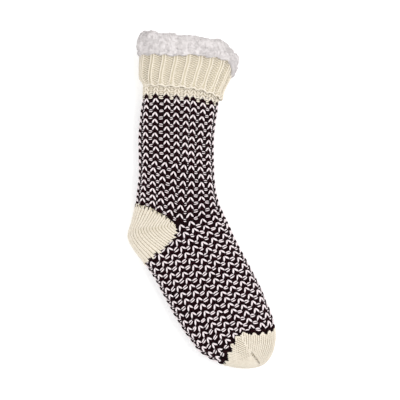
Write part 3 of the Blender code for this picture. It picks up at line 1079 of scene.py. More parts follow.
@dataclass(frozen=True)
class LargeKnit:
    """The large stitches of the pattern, and of the cream courses next to it."""

    courses: CourseField | BorderField
    shape: StitchShape
    apex: float = 0.035
    head: float = 0.04
    knit_sunk: float = 0.0011
    knit_dive: float = 0.0005
    knit_taper: tuple[float, ...] = (0.60, 0.98, 1.08, 0.98, 0.55)
    bump_bow: float = 0.3
    bump_gap: float = 0.05
    bump_rise: float = 0.0003
    bump_taper: tuple[float, ...] = (0.60, 0.98, 1.08, 0.98, 0.60)
    level_uneven: float = 0.016
    slant_uneven: float = 0.03
    depth_uneven: float = 0.00008
    size_uneven: float = 0.045

    def cells(self, course: float, high: float = WALES / 2) -> tuple[Array, Array, Array]:
        """Lists the stitches of one course, each twice.

        Args:
            course: The course's number.
            high: How far from the shin it is knitted, in wales on either side.

        Returns:
            Columns of course numbers, wale numbers, and -1 or 1 for the two of each stitch.
        """
        wale, part = combined(np.arange(WALES), LIMBS)
        place = np.mod(wale_place(wale, self.courses.station(np.array(course), wale + FIRST_WALE)), WALES)
        fold = np.minimum(place, WALES - place)[:, 0]
        keep = fold <= high
        return np.full((keep.sum(), 1), course), wale[keep], part[keep]

    def uneven(
        self, points: Array, outs: Array, depth: Array, size: Array, random: Random
    ) -> tuple[Array, Array]:
        """Sinks yarn into the cloth and makes its depth and thickness a little uneven.

        Args:
            points: Points along each length, on the surface.
            outs: Outward unit vectors there.
            depth: How far each point is sunk.
            size: Radius at each point.
            random: Source of unevenness.

        Returns:
            The sunk points and the radii.
        """
        each = (len(points), 1)
        deep = depth + random.normal(0, self.depth_uneven, each)
        return points - outs * deep[..., None], size * (1 + random.normal(0, self.size_uneven, each))

    def knit(
        self, layer: Layer, cells: tuple[Array, Array, Array], sunk: float, random: Random
    ) -> tuple[Array, Array, Array, Array]:
        """Lays both limbs of knit stitches, which part downwards.

        Args:
            layer: The surface they lie on.
            cells: Columns of course numbers, wale numbers and limbs.
            sunk: How far they are sunk besides their own radius.
            random: Source of unevenness.

        Returns:
            Points along each limb, outward unit vectors, radii, and how far it is from the toe's border.
        """
        course, wale, limb = cells
        t = np.linspace(0, 1, len(self.knit_taper))
        uneven = random.normal(0, self.level_uneven, course.shape)
        level = course - self.head + self.shape.rise * t + uneven
        spread = limb * (self.apex + (self.shape.spread - self.apex) * t)
        place = wale_place(wale, self.courses.station(level, wale + FIRST_WALE)) + spread
        at = self.courses.station(level, place)
        place = wale_place(wale, at) + spread
        points, outs = layer.lay(at, place / WALES)
        depth = self.knit_sunk + sunk + self.knit_dive * (2 * t - 1) ** 2
        size = self.shape.radius * np.array(self.knit_taper)
        points, size = self.uneven(points, outs, depth, size, random)
        return points, outs, size, self.short_of_toe(at, place)

    def short_of_toe(self, at: Array, place: Array) -> Array:
        """How far the middle of each length is from the toe's border."""
        middle = at.shape[1] // 2
        return border_at(TOE_BORDER, place[:, middle] / WALES) - at[:, middle]

    def purl(
        self, layer: Layer, cells: tuple[Array, Array, Array], raised: float, random: Random
    ) -> tuple[Array, Array, Array, Array]:
        """Lays both strokes of purl bumps, which lie between the wales and bow apart.

        Args:
            layer: The surface they lie on.
            cells: Columns of course numbers, wale numbers and strokes.
            raised: How far they are raised above their own depth.
            random: Source of unevenness.

        Returns:
            Points along each stroke, outward unit vectors, radii, and how far it is from the toe's border.
        """
        course, wale, stroke = cells
        shape = self.shape
        t = np.linspace(-1, 1, len(self.bump_taper))
        slant = t * random.normal(0, self.slant_uneven, course.shape)
        part = stroke * shape.bump_part * (1 - self.bump_bow * t**2)
        uneven = random.normal(0, self.level_uneven, course.shape)
        level = course + shape.bump_at + part + slant + uneven
        at = self.courses.station(level, wale + FIRST_WALE + 0.5)
        near, far = wale_place(wale, at), wale_place(wale + 1, at)
        room = np.maximum(0.5 * (far - near) - shape.spread - self.bump_gap, self.bump_gap)
        place = 0.5 * (near + far) + np.minimum(shape.bump_half, room) * t
        at = self.courses.station(level, place)
        points, outs = layer.lay(at, place / WALES)
        depth = shape.bump_sunk - raised - self.bump_rise * np.abs(t)
        size = shape.bump_radius * np.array(self.bump_taper)
        points, size = self.uneven(points, outs, depth, size, random)
        return points, outs, size, self.short_of_toe(at, place)


LEG_STITCH = StitchShape(
    rise=0.56,
    spread=0.295,
    radius=0.00101,
    bump_at=0.80,
    bump_part=0.130,
    bump_half=0.200,
    bump_radius=0.00063,
    bump_sunk=0.0029,
)
FOOT_STITCH = StitchShape(
    rise=0.56,
    spread=0.255,
    radius=0.00108,
    bump_at=0.74,
    bump_part=0.150,
    bump_half=0.215,
    bump_radius=0.00081,
    bump_sunk=0.0023,
)
STRIP_STITCH = LEG_STITCH._replace(rise=0.60, radius=0.00125, bump_half=0.220, bump_radius=0.00090)
LEG_KNIT = LargeKnit(LEG_FIELD, LEG_STITCH)
FOOT_KNIT = LargeKnit(FOOT_FIELD, FOOT_STITCH)
TOE_KNIT = LargeKnit(TOE_FIELD, FOOT_STITCH)
STRIP_KNIT = LargeKnit(LEG_FIELD, STRIP_STITCH)


@dataclass
class PatternedKnit:
    """The two-colour knit of leg and foot: wales of stitches and of purl bumps on a dark ground."""

    layer: Layer
    lap: float = 0.0012
    bump_gap: float = 0.0030
    dark_sunk: float = 0.0003
    heel_gap: float = 0.2
    ground_top: float = -LEG_HEIGHT + 0.0004
    ground_end: float = 0.935
    ground_outer: float = 0.0032
    ground_inner: float = 0.0042
    ground_steps: int = 56
    toe_steps: int = 18
    seed: int = 11

    def course_list(self, yarn: Yarn) -> list[tuple[LargeKnit, float]]:
        """Lists a yarn's whole courses.

        Args:
            yarn: One of the two yarns.

        Returns:
            The courses, each with its kind of stitches.
        """
        leg = np.arange(yarn.value, HEEL_COURSE)
        foot = np.arange(FOOT_COURSE + yarn.value, TOE_COURSE)
        return [(LEG_KNIT, course) for course in leg] + [(FOOT_KNIT, course) for course in foot]

    def stitches(self, yarn: Yarn, lengths: YarnLengths, random: Random) -> None:
        """Adds the knit stitches and the purl bumps of one yarn.

        Args:
            yarn: One of the two yarns.
            lengths: Where they are gathered.
            random: Source of unevenness.
        """
        sunk = self.dark_sunk if yarn is Yarn.DARK else 0.0
        knit = [(kind, kind.cells(course)) for kind, course in self.course_list(yarn)]
        purl = list(knit)
        if yarn is Yarn.WHITE:
            knit.append((FOOT_KNIT, FOOT_KNIT.cells(HEEL_COURSE, high=HEEL_POINT - self.heel_gap)))
            purl.append((FOOT_KNIT, FOOT_KNIT.cells(HEEL_COURSE)))
        else:
            knit.append((TOE_KNIT, TOE_KNIT.cells(TOE_COURSE)))
            purl.append((FOOT_KNIT, FOOT_KNIT.cells(TOE_COURSE)))
        for kind, cells in knit:
            points, outs, size, gap = kind.knit(self.layer, cells, sunk, random)
            keep = gap > -self.lap
            lengths.add(points[keep], outs[keep], size[keep])
        for kind, cells in purl:
            points, outs, size, gap = kind.purl(self.layer, cells, 0.0, random)
            keep = gap > self.bump_gap
            lengths.add(points[keep], outs[keep], size[keep])

    def ground(self) -> bpy.types.Object:
        """Builds the dark cloth under the stitches, a thin closed tube with a round toe.

        Returns:
            The cloth.
        """
        closing = np.sin(np.linspace(0, math.pi / 2, self.toe_steps)[1:])
        stations = np.append(
            np.linspace(self.ground_top, TOE_ROOT, self.ground_steps),
            TOE_ROOT + closing * (TOE_TIP - TOE_ROOT) * self.ground_end,
        )
        outer = [self.layer.under(at, GROUND_SHARE, self.ground_outer) for at in stations]
        inner = [self.layer.under(at, GROUND_SHARE, self.ground_inner) for at in stations]
        return carried_round("knit_ground", outer + inner[::-1])

    def build(self) -> None:
        """Builds and dresses the ground and both yarns."""
        dress(self.ground(), DARK_CLOTH, Node.KNIT)
        for yarn, finish in ((Yarn.DARK, DARK_YARN), (Yarn.WHITE, WHITE_YARN)):
            random = np.random.default_rng(self.seed + int(2 * yarn.value))
            lengths = YarnLengths(f"{yarn.name.lower()}_stitches")
            self.stitches(yarn, lengths, random)
            dress(lengths.build(), finish, Node.KNIT)


@dataclass
class FineStitch:
    """One stitch of the plain cream knit, as two limbs that meet at its head."""

    wale: float = 0.0031
    row: float = 0.0024
    radius: float = 0.00068
    sunk: float = 0.00105
    half: float = 0.62
    apex: float = 0.10
    spread: float = 0.16
    dive: float = 0.0004
    depth_uneven: float = 0.00006

    def limb(self, side: float) -> tuple[Array, Array, Array]:
        """One limb, as moves along and across the wale, and depths under the surface.

        Args:
            side: -1 or 1, the limb's side of the wale.

        Returns:
            Moves along, moves across and depths, at four points.
        """
        t = np.linspace(0, 1, len(LIMB_TAPER))
        along = self.row * (-self.half + 2 * self.half * t)
        across = side * self.wale * (self.apex + self.spread * t)
        return along, across, self.sunk + self.dive * (2 * t - 1) ** 2


@dataclass
class HeelPocket:
    """The plain cream heel, whose wales bend along the line from its side point to the back."""

    layer: Layer
    stitch: FineStitch = field(default_factory=lambda: FineStitch(wale=0.0040, row=0.0028, radius=0.00081))
    bend: float = 0.62 * ARC
    bend_rise: float = 0.010
    fan: float = 0.030
    half_round: float = 0.075
    upper_slope: float = 0.39
    lower_slope: float = 0.42
    straighten: float = 3.9
    upper_thin: float = 0.86
    back_plump: float = 1.30
    back_reach: float = 0.036
    stretch: float = 1.32
    over_base: float = 0.0004
    tooth: float = 0.0018
    tooth_rise: float = 0.0006
    reach: float = 0.257
    wales_each_way: int = 28
    rows_each_way: int = 23
    row_uneven: float = 0.00008
    ground_columns: int = 96
    ground_rows: int = 30
    ground_inset: float = 0.0019
    ground_wall: float = 0.0009
    tick_count: int = 22
    tick_margin: float = 0.35
    tick_run: tuple[float, ...] = (-0.0002, 0.0009, 0.0021)
    tick_radii: tuple[float, ...] = (0.00066, 0.00068, 0.00042)
    tick_sunk: float = 0.0003
    seed: int = 21

    def borders(self, share: Array) -> tuple[Array, Array]:
        """Stations of the top and the base border at places round the section."""
        return border_at(HEEL_TOP, share), border_at(HEEL_BASE, share)

    def inside(self, at: Array, share: Array, over_base: Array) -> Array:
        """Finds which places lie in the pocket.

        Args:
            at: Stations along the centreline.
            share: Places round the section.
            over_base: How far past the base border still counts.

        Returns:
            Whether each place does.
        """
        low, high = self.borders(share)
        place = np.mod(share * WALES, WALES)
        fold = np.minimum(place, WALES - place)
        return (fold > HEEL_POINT) & (at > low) & (at < high + over_base)

    def wale_at(self, start: Array, at: Array) -> Array:
        """Finds where wales run.

        Args:
            start: How far round from the back each crosses the bend line.
            at: Stations along the centreline.

        Returns:
            How far round from the back it is there.
        """
        slope = np.clip(start / self.fan, -1.0, 1.0) * self.stretch
        away = at - self.bend + self.bend_rise * (1 - np.minimum(np.abs(start) / self.half_round, 1.0))
        lean = self.upper_slope * np.maximum(-away, 0) + self.lower_slope * np.maximum(away, 0)
        return start + slope * (lean - self.straighten * away**2)

    def spacing(self, start: Array, at: Array) -> Array:
        """How much further apart the wales run than where they cross the bend line."""
        step = 0.0005
        return (self.wale_at(start + step, at) - self.wale_at(start - step, at)) / (2 * step)

    def stitches(self) -> bpy.types.Object:
        """Builds the stitches.

        Returns:
            The stitches as one object.
        """
        lengths = YarnLengths("heel_stitches", sides=5)
        random = np.random.default_rng(self.seed)
        starts = np.arange(-self.wales_each_way, self.wales_each_way + 1) * self.stitch.wale
        numbers = np.arange(-self.rows_each_way, self.rows_each_way + 1)
        start, row = combined(starts, numbers * self.stitch.row / self.stretch + self.bend)
        row = row + random.normal(0, self.row_uneven, row.shape)
        teeth = self.over_base + self.tooth * np.mod(np.round(start[:, 0] / self.stitch.wale), 2)
        for side in LIMBS:
            along, across, depth = self.stitch.limb(side)
            at = row + along / self.stretch
            wider = self.spacing(start, at)
            reach = self.wale_at(start, at) + across * wider
            share = 0.5 - reach / self.layer.round_length(at)
            keep = self.inside(row[:, 0], share[:, 1], teeth)
            keep &= np.abs(share[:, 1] - 0.5) < self.reach
            at, share = at[keep], share[keep]
            points, outs = self.layer.lay(at, share)
            past = at > border_at(HEEL_BASE, share)
            uneven = random.normal(0, self.stitch.depth_uneven, (len(points), 1))
            deep = depth - self.tooth_rise * past + uneven
            size = self.stitch.radius * LIMB_TAPER * wider[keep]
            from_back = np.minimum(np.abs(start[keep]) / self.back_reach, 1.0)
            thin = np.where(at < self.bend, self.upper_thin, 1.0)
            size = size * (self.back_plump + (thin - self.back_plump) * from_back)
            lengths.add(points - outs * deep[..., None], outs, size)
        return lengths.build()

    def ground(self) -> bpy.types.Object:
        """Builds the cloth under the stitches, a sheet between the borders that goes round the back.

        Returns:
            The cloth.
        """
        mesh = bmesh.new()
        grid = bmesh.ops.create_grid(
            mesh, x_segments=self.ground_columns, y_segments=self.ground_rows, size=0.5
        )["verts"]
        u = np.array([v.co.x + 0.5 for v in grid])
        t = np.array([v.co.y + 0.5 for v in grid])
        share = (HEEL_POINT + (WALES - 2 * HEEL_POINT) * u) / WALES
        low, high = self.borders(share)
        at = low + (high - low) * t
        for vertex, place in zip(grid, self.layer.point(at, share, self.ground_inset)):
            vertex.co = place
        bmesh.ops.recalc_face_normals(mesh, faces=mesh.faces)
        data = bpy.data.meshes.new("heel_ground")
        mesh.to_mesh(data)
        mesh.free()
        data.shade_smooth()
        piece = link_mesh("heel_ground", data)
        wall = piece.modifiers.new("wall", "SOLIDIFY")
        wall.thickness = self.ground_wall
        wall.offset = -1.0
        return piece

    def ticks(self) -> bpy.types.Object:
        """Builds the small ticks of dark yarn that show through along the top border.

        Returns:
            The ticks as one object.
        """
        lengths = YarnLengths("heel_ticks", sides=5)
        first = HEEL_POINT + self.tick_margin
        last = WALES - HEEL_POINT - self.tick_margin
        share = np.linspace(first, last, self.tick_count)[:, None] / WALES
        at = border_at(HEEL_TOP, share) + np.array(self.tick_run)
        points, outs = self.layer.lay(at, share)
        lengths.add(points - outs * self.tick_sunk, outs, np.array(self.tick_radii))
        return lengths.build()

    def build(self) -> None:
        """Builds and dresses the ground, the stitches and the ticks."""
        # The heel's ground carries painted shade: its darker cream stands for the shade in the grooves.
        dress(self.ground(), SHADED_CREAM_GROOVE, Node.HEEL)
        dress(self.stitches(), CREAM_YARN, Node.HEEL)
        dress(self.ticks(), DARK_YARN, Node.HEEL)


@dataclass
class ToeCap:
    """The plain cream toe: an instep panel and a sole panel that meet along a line on each side."""

    layer: Layer
    stitch: FineStitch = field(default_factory=FineStitch)
    instep_slope: float = 0.10
    sole_slope: float = 0.02
    dotted: float = 0.013
    dot_length: float = 0.62
    dotted_to: float = 0.2380
    crown: float = 0.25
    chart_from: float = ARC + 0.69 * FOOT_REACH
    chart_steps: int = 700
    tip_zone: float = 0.001
    tip_gap: float = 0.00004
    tip_steps: int = 200
    lean_root: float = ARC + 0.70 * FOOT_REACH
    lean_from: float = 0.002
    lean_to: float = 0.030
    least_round: float = 0.006
    wales_each_way: int = 50
    lap: float = 0.45
    tooth: float = 0.0022
    first_row: float = 0.0008
    ground_from: float = 0.0014
    ground_outer: float = 0.0019
    ground_inner: float = 0.0028
    ground_steps: int = 24
    seed: int = 31

    def gore(self, at: Array) -> Array:
        """Share round the section of the line where the two panels meet, on the top side."""
        return np.interp(at, [row.at for row in TOE_GORE], [row.share for row in TOE_GORE])

    def start(self, share: Array) -> Array:
        """Stations where the plain knit begins, with a tooth on every wale of the pattern.

        Args:
            share: Places round the section.

        Returns:
            Stations along the centreline.
        """
        border = border_at(TOE_BORDER, share)
        wales = wale_place(np.arange(WALES), border[:, None])
        away = np.mod(share[:, None] * WALES - wales + WALES / 2, WALES) - WALES / 2
        return border + self.tooth * np.clip(2 * np.abs(away).min(axis=1), 0.0, 1.0)

    def stations(self) -> Array:
        """Spaces rows of stitches evenly along the crown of the toe.

        Returns:
            Stations of the rows.
        """
        at = np.append(
            np.linspace(self.chart_from, TOE_TIP - self.tip_zone, self.chart_steps),
            TOE_TIP - np.geomspace(self.tip_zone, self.tip_gap, self.tip_steps),
        )
        crown = self.layer.point(at, self.crown)
        length = np.concatenate([[0.0], np.cumsum(np.linalg.norm(np.diff(crown, axis=0), axis=1))])
        return np.interp(np.arange(0, length[-1], self.stitch.row), length, at)

    def panel(self, lengths: YarnLengths, panel: Panel, slope: float, random: Random) -> None:
        """Adds the stitches of one panel.

        Args:
            lengths: Where the limbs are gathered.
            panel: Which of the two it is.
            slope: How fast its wales run out towards the other panel.
            random: Source of unevenness.
        """
        stations = self.stations()
        numbers = np.arange(len(stations))
        starts = np.arange(-self.wales_each_way, self.wales_each_way + 1) * self.stitch.wale
        start, number = combined(starts, numbers)
        lean = ease(np.abs(start), self.lean_from, self.lean_to) * np.sign(start) * slope
        middle = stations[number]
        length = np.maximum(self.layer.round_length(middle), self.least_round)
        place = start + lean * (middle - self.lean_root)
        share = np.mod(panel.value - place / length, 1.0)[:, 0]
        past = (np.minimum(share, 1 - share) - self.gore(middle[:, 0])) * length[:, 0]
        lap = self.lap * self.stitch.wale
        belongs = past < lap if panel is Panel.INSTEP else past > -lap
        belongs &= np.abs(place[:, 0]) < 0.5 * length[:, 0]
        belongs &= middle[:, 0] > self.start(share) + self.first_row
        dots = (past > 0) & (past < self.dotted) & (middle[:, 0] < self.dotted_to)
        start, number, lean, dots = start[belongs], number[belongs], lean[belongs], dots[belongs]
        short = np.where(dots, self.dot_length, 1.0)[:, None]
        for side in LIMBS:
            along, across, depth = self.stitch.limb(side)
            at = np.interp(number + short * along / self.stitch.row, numbers, stations)
            reach = start + lean * (at - self.lean_root) + across
            share = panel.value - reach / np.maximum(self.layer.round_length(at), self.least_round)
            points, outs = self.layer.lay(at, share)
            deep = depth + random.normal(0, self.stitch.depth_uneven, (len(points), 1))
            lengths.add(points - outs * deep[..., None], outs, self.stitch.radius * LIMB_TAPER)

    def ground(self) -> bpy.types.Object:
        """Builds the cloth under the stitches, from the border to the tip.

        Returns:
            The cloth.
        """
        at = self.start(GROUND_SHARE) + self.ground_from
        onward = np.linspace(0, 1, self.ground_steps)
        rings = []
        for inset, steps in ((self.ground_outer, onward), (self.ground_inner, np.flip(onward))):
            for t in steps:
                run = at + (TOE_TIP - self.tip_gap - at) * math.sin(t * math.pi / 2)
                rings.append(self.layer.under(run, GROUND_SHARE, inset))
        return carried_round("toe_ground", rings)

    def build(self) -> None:
        """Builds and dresses the ground and the stitches."""
        # The toe's ground carries painted shade: its darker cream stands for the shade in the grooves and
        # holes.
        dress(self.ground(), SHADED_CREAM_GROOVE, Node.TOE)
        lengths = YarnLengths("toe_stitches", sides=5)
        random = np.random.default_rng(self.seed)
        self.panel(lengths, Panel.INSTEP, self.instep_slope, random)
        self.panel(lengths, Panel.SOLE, self.sole_slope, random)
        lengths.add(*TOE_KNIT.knit(self.layer, TOE_KNIT.cells(TOE_COURSE + 0.5), 0.0, random)[:3])
        dress(lengths.build(), CREAM_YARN, Node.TOE)


@dataclass
class SherpaHem:
    """The lower edge of the pile over the cuff: nearly level, with a lobe that hangs over the front."""

    turndown: Layer
    foot: float = -0.1592
    lobe: float = 0.0115
    lobe_rise: tuple[float, float] = (-0.11, -0.05)
    lobe_fall: tuple[float, float] = (0.005, 0.085)
    wale_wave: float = 0.0007
    long_wave: float = 0.0006
    long_waves: int = 7
    long_phase: float = 1.0

    def drop(self, share: Array) -> Array:
        """How far the edge lies below its straight foot.

        Args:
            share: Places round the section.

        Returns:
            The drop at each place.
        """
        front = np.mod(share + 0.5, 1.0) - 0.5
        waves = self.wale_wave * np.sin(2 * math.pi * WALES * share)
        waves = waves + self.long_wave * np.sin(2 * math.pi * self.long_waves * share + self.long_phase)
        across = self.turndown.across(np.full(np.shape(share), CUFF_FOLD), share)
        level = np.interp(across, [row.across for row in SHERPA_HEM], [row.drop for row in SHERPA_HEM])
        lobe = self.lobe * ease(front, *self.lobe_rise) * (1 - ease(front, *self.lobe_fall))
        return lobe + waves + level


class RibLine(NamedTuple):
    """One line of the rib ground's profile: its station, and how far it lies under its layer."""

    at: float
    inset: float


@dataclass
class RibCuff:
    """The cream rib: it stands up from the leg, folds over and hangs down, with a ridge on every wale."""

    stand: Layer
    turndown: Layer
    hem: SherpaHem
    row: float = 0.0031
    ridge_radius: float = 0.00085
    bump_radius: float = 0.00066
    depth: float = 0.0017
    top: float = -0.1680
    covered: float = 0.0050
    hang_at: tuple[float, ...] = (CUFF_FOLD, -0.146, -0.134, CUFF_EDGE)
    hang_share: tuple[float, ...] = (0.2, 0.4, 0.7, 1.0)
    tuck: float = 0.0042
    tuck_height: float = 0.0110
    tuck_across: tuple[float, float] = (-1.0, -0.55)
    ridge_half: tuple[float, float] = (0.10, 0.30)
    near_depth: float = 1.25
    depth_loss: float = 0.65
    limb_half: float = 0.58
    limb_apex: float = 0.095
    ridge_taper: tuple[float, ...] = (0.75, 1.0, 1.05, 1.0, 0.75)
    flare: float = 0.055
    edge_flare: float = 0.26
    flare_run: tuple[float, float] = (CUFF_EDGE - 0.012, CUFF_EDGE - 0.001)
    bump_columns: tuple[float, ...] = (0.32, 0.52, 0.72)
    bump_half: float = 0.095
    bump_bow: float = 0.22
    bump_proud: float = 0.0003
    row_uneven: float = 0.00012
    strip_courses: int = 6
    strip_raised: float = 0.0014
    edge_rise: float = 0.0016
    edge_wave: float = 0.0018
    edge_radius: float = 0.00095
    edge_steps: int = 5
    rows_end: float = CUFF_EDGE - 0.0012
    sheet: float = 0.0010
    behind: float = 0.0021
    covered_rise: float = 0.0010
    covered_inset: float = 0.0034
    seed: int = 41

    def hung(self, at: Array, share: Array) -> tuple[Array, Array]:
        """Hangs the turned-down layer: its edge runs level from the back and drops at the shin.

        Args:
            at: Stations of a cuff whose edge is straight.
            share: Places round the section.

        Returns:
            The stations as they hang, and how far the layer is tucked in there.
        """
        at, share = np.broadcast_arrays(np.asarray(at, float), np.asarray(share, float))
        across = self.turndown.across(at, share)
        drop = np.interp(across, [row.across for row in CUFF_HEM], [row.drop for row in CUFF_HEM])
        weight = np.interp(at, self.hang_at, self.hang_share)
        tuck = self.tuck * ease(at, CUFF_EDGE - self.tuck_height, CUFF_EDGE)
        return at + weight * drop, tuck * (1 - ease(across, *self.tuck_across))

    def shown_from(self, share: Array) -> Array:
        """Stations where the rib comes out from under the pile, less what stays covered."""
        return np.maximum(self.top, self.hem.foot + self.hem.drop(share) - self.covered)

    def places(self) -> Array:
        """Where the ridges run, in even wales from the shin, the first of them again at the end."""
        under = np.linspace(CUFF_WALES[-1], CUFF_WALES[0] + WALES, WALES - len(CUFF_WALES) + 2)[1:]
        return np.array([*CUFF_WALES, *under])

    def share_of(self, wale: Array) -> Array:
        """Place round the section of a wale number, as a share."""
        lap = np.floor(wale / WALES)
        return lap + np.interp(wale - WALES * lap, np.arange(WALES + 1), self.places()) / WALES

    def wale_of(self, share: Array) -> Array:
        """Numbers places round the section by the wales.

        Args:
            share: Places round the section.

        Returns:
            Wale numbers, with the part of a wale.
        """
        places = self.places()
        start = places[0] / WALES
        return np.interp(start + np.mod(share - start, 1.0), places / WALES, np.arange(WALES + 1))

    def sunk(self, wale: Array) -> Array:
        """Finds how far the rib lies below its ridges.

        Args:
            wale: Wale numbers, with the part of a wale.

        Returns:
            The depth at each.
        """
        part = wale - np.floor(wale)
        ridge = 1 - ease(np.minimum(part, 1 - part), *self.ridge_half)
        return self.depth * (self.near_depth - self.depth_loss * part) * (1 - ridge)

    def strokes(self, lengths: YarnLengths, at: Array, wale: Array, size: Array, proud: float) -> None:
        """Adds lengths of yarn by their stations and wale numbers.

        Args:
            lengths: Where they are gathered.
            at: Stations of the points of each length.
            wale: Wale numbers of those points.
            size: Radius at those points.
            proud: How far they stand out of the rib's surface.
        """
        share = self.share_of(wale)
        at, tuck = self.hung(at, share)
        size = np.broadcast_to(size, at.shape)
        keep = at.mean(axis=1) > self.shown_from(share[:, 0])
        points, outs = self.turndown.lay(at[keep], share[keep])
        deep = (self.sunk(wale) + tuck + size - proud)[keep]
        lengths.add(points - outs * deep[..., None], outs, size[keep])

    def ridges(self, lengths: YarnLengths, rows: Array, random: Random) -> None:
        """Adds the knit wales, two limbs to a stitch, which part further near the cuff's edge.

        Args:
            lengths: Where they are gathered.
            rows: Stations of the stitches.
            random: Source of unevenness.
        """
        t = np.linspace(0, 1, len(self.ridge_taper))
        flare = self.flare + self.edge_flare * ease(rows, *self.flare_run)
        number, wale, limb = combined(np.arange(len(rows)), np.arange(WALES), LIMBS)
        uneven = random.normal(0, self.row_uneven, number.shape)
        at = rows[number] + self.row * (-self.limb_half + 2 * self.limb_half * t) + uneven
        away = limb * (self.limb_apex + flare[number] * t)
        self.strokes(lengths, at, wale + away, self.ridge_radius * np.array(self.ridge_taper), 0.0)

    def panels(self, lengths: YarnLengths, rows: Array, random: Random) -> None:
        """Adds the purl bumps between the ridges, three across.

        Args:
            lengths: Where they are gathered.
            rows: Stations of the bumps.
            random: Source of unevenness.
        """
        t = np.linspace(-1, 1, len(LIMB_TAPER))
        columns = np.array(self.bump_columns)
        row, wale, column = combined(rows, np.arange(WALES), np.arange(len(columns)))
        uneven = random.normal(0, self.row_uneven, row.shape)
        at = row + self.row * (0.5 * (column == 1) + self.bump_bow * t**2) + uneven
        place = wale + columns[column] + self.bump_half * t
        self.strokes(lengths, at, place, self.bump_radius * LIMB_TAPER, self.bump_proud)

    def strip(self, lengths: YarnLengths, random: Random) -> None:
        """Adds the cream courses between the cuff's edge and the pattern, on the leg's own wales.

        Args:
            lengths: Where the stitches are gathered.
            random: Source of unevenness.
        """
        for number in -0.5 * np.arange(1, self.strip_courses + 1):
            cells = STRIP_KNIT.cells(number)
            lengths.add(*STRIP_KNIT.knit(self.stand, cells, 0.0, random)[:3])
            lengths.add(*STRIP_KNIT.purl(self.stand, cells, self.strip_raised, random)[:3])

    def edge(self, lengths: YarnLengths) -> None:
        """Adds the cast-off edge, a row of short lengths that dips under every panel.

        Args:
            lengths: Where they are gathered.
        """
        wale, half = combined(np.arange(WALES), (0.0, 0.5))
        place = wale + half + 0.5 * np.linspace(0, 1, self.edge_steps)
        wave = 0.5 - 0.5 * np.cos(2 * math.pi * place)
        at = CUFF_EDGE - self.edge_rise + self.edge_wave * wave
        self.strokes(lengths, at, place, np.full(at.shape, self.edge_radius), 0.0)

    def ground(self) -> bpy.types.Object:
        """Builds the folded cloth under the stitches, a closed profile carried round.

        Returns:
            The cloth.
        """
        share = GROUND_SHARE
        relief = self.sunk(self.wale_of(share))
        inside = (
            RibLine(-LEG_HEIGHT, KNIT_WALL),
            RibLine(-0.124, KNIT_WALL),
            RibLine(STAND_MIDDLE, KNIT_WALL),
            RibLine(-0.147, KNIT_WALL),
            RibLine(CUFF_FOLD, KNIT_WALL),
            RibLine(CUFF_FOLD - 0.0012, self.sheet),
        )
        outside = (
            RibLine(self.top, self.sheet),
            RibLine(-0.150, self.sheet),
            RibLine(-0.140, self.sheet),
            RibLine(-0.130, self.sheet),
            RibLine(-0.122, self.sheet),
            RibLine(CUFF_EDGE - 0.0010, self.sheet),
            RibLine(CUFF_EDGE - 0.0004, self.sheet + 0.0006),
            RibLine(CUFF_EDGE - 0.0008, 0.0030),
        )
        under_edge = RibLine(-0.122, 0.0038)
        rings = [self.stand.point(line.at, share, line.inset) for line in inside]
        start = self.shown_from(share)
        hung, _ = self.hung(start - self.covered_rise, share)
        rings.append(self.turndown.point(hung, share, self.covered_inset))
        for line in outside:
            run = start + (line.at - self.top) / (CUFF_EDGE - self.top) * (CUFF_EDGE - start)
            hung, tuck = self.hung(run, share)
            rings.append(self.turndown.point(hung, share, line.inset + relief + tuck))
        hung, tuck = self.hung(under_edge.at, share)
        rings.append(self.turndown.point(hung, share, under_edge.inset + tuck))
        for at in (-0.150, STAND_MIDDLE, -0.124, -LEG_HEIGHT - 0.0012):
            rings.append(self.stand.point(at, share, self.behind))
        return carried_round("rib_ground", rings)

    def build(self) -> None:
        """Builds and dresses the ground and the stitches."""
        # The rib's ground carries painted shade: its darker cream stands for the shade between the
        # stitches.
        dress(self.ground(), SHADED_CREAM_CLOTH, Node.CUFF)
        random = np.random.default_rng(self.seed)
        lengths = YarnLengths("rib_stitches")
        rows = np.arange(self.top, self.rows_end, self.row)
        self.ridges(lengths, rows, random)
        self.panels(lengths, rows[:-1], random)
        self.edge(lengths)
        self.strip(lengths, random)
        dress(lengths.build(), CREAM_YARN, Node.CUFF)


class Fold(Enum):
    """The layers of the collar that the pile follows."""

    STAND = "stand"
    TURNDOWN = "turndown"
    ROLL = "roll"


class Rim(NamedTuple):
    """One line of the sherpa roll's profile: where it lies, its share of the tufts and of the dip."""

    layer: Fold
    at: float
    inset: float
    tufts: float
    tilt: float
    dip: float


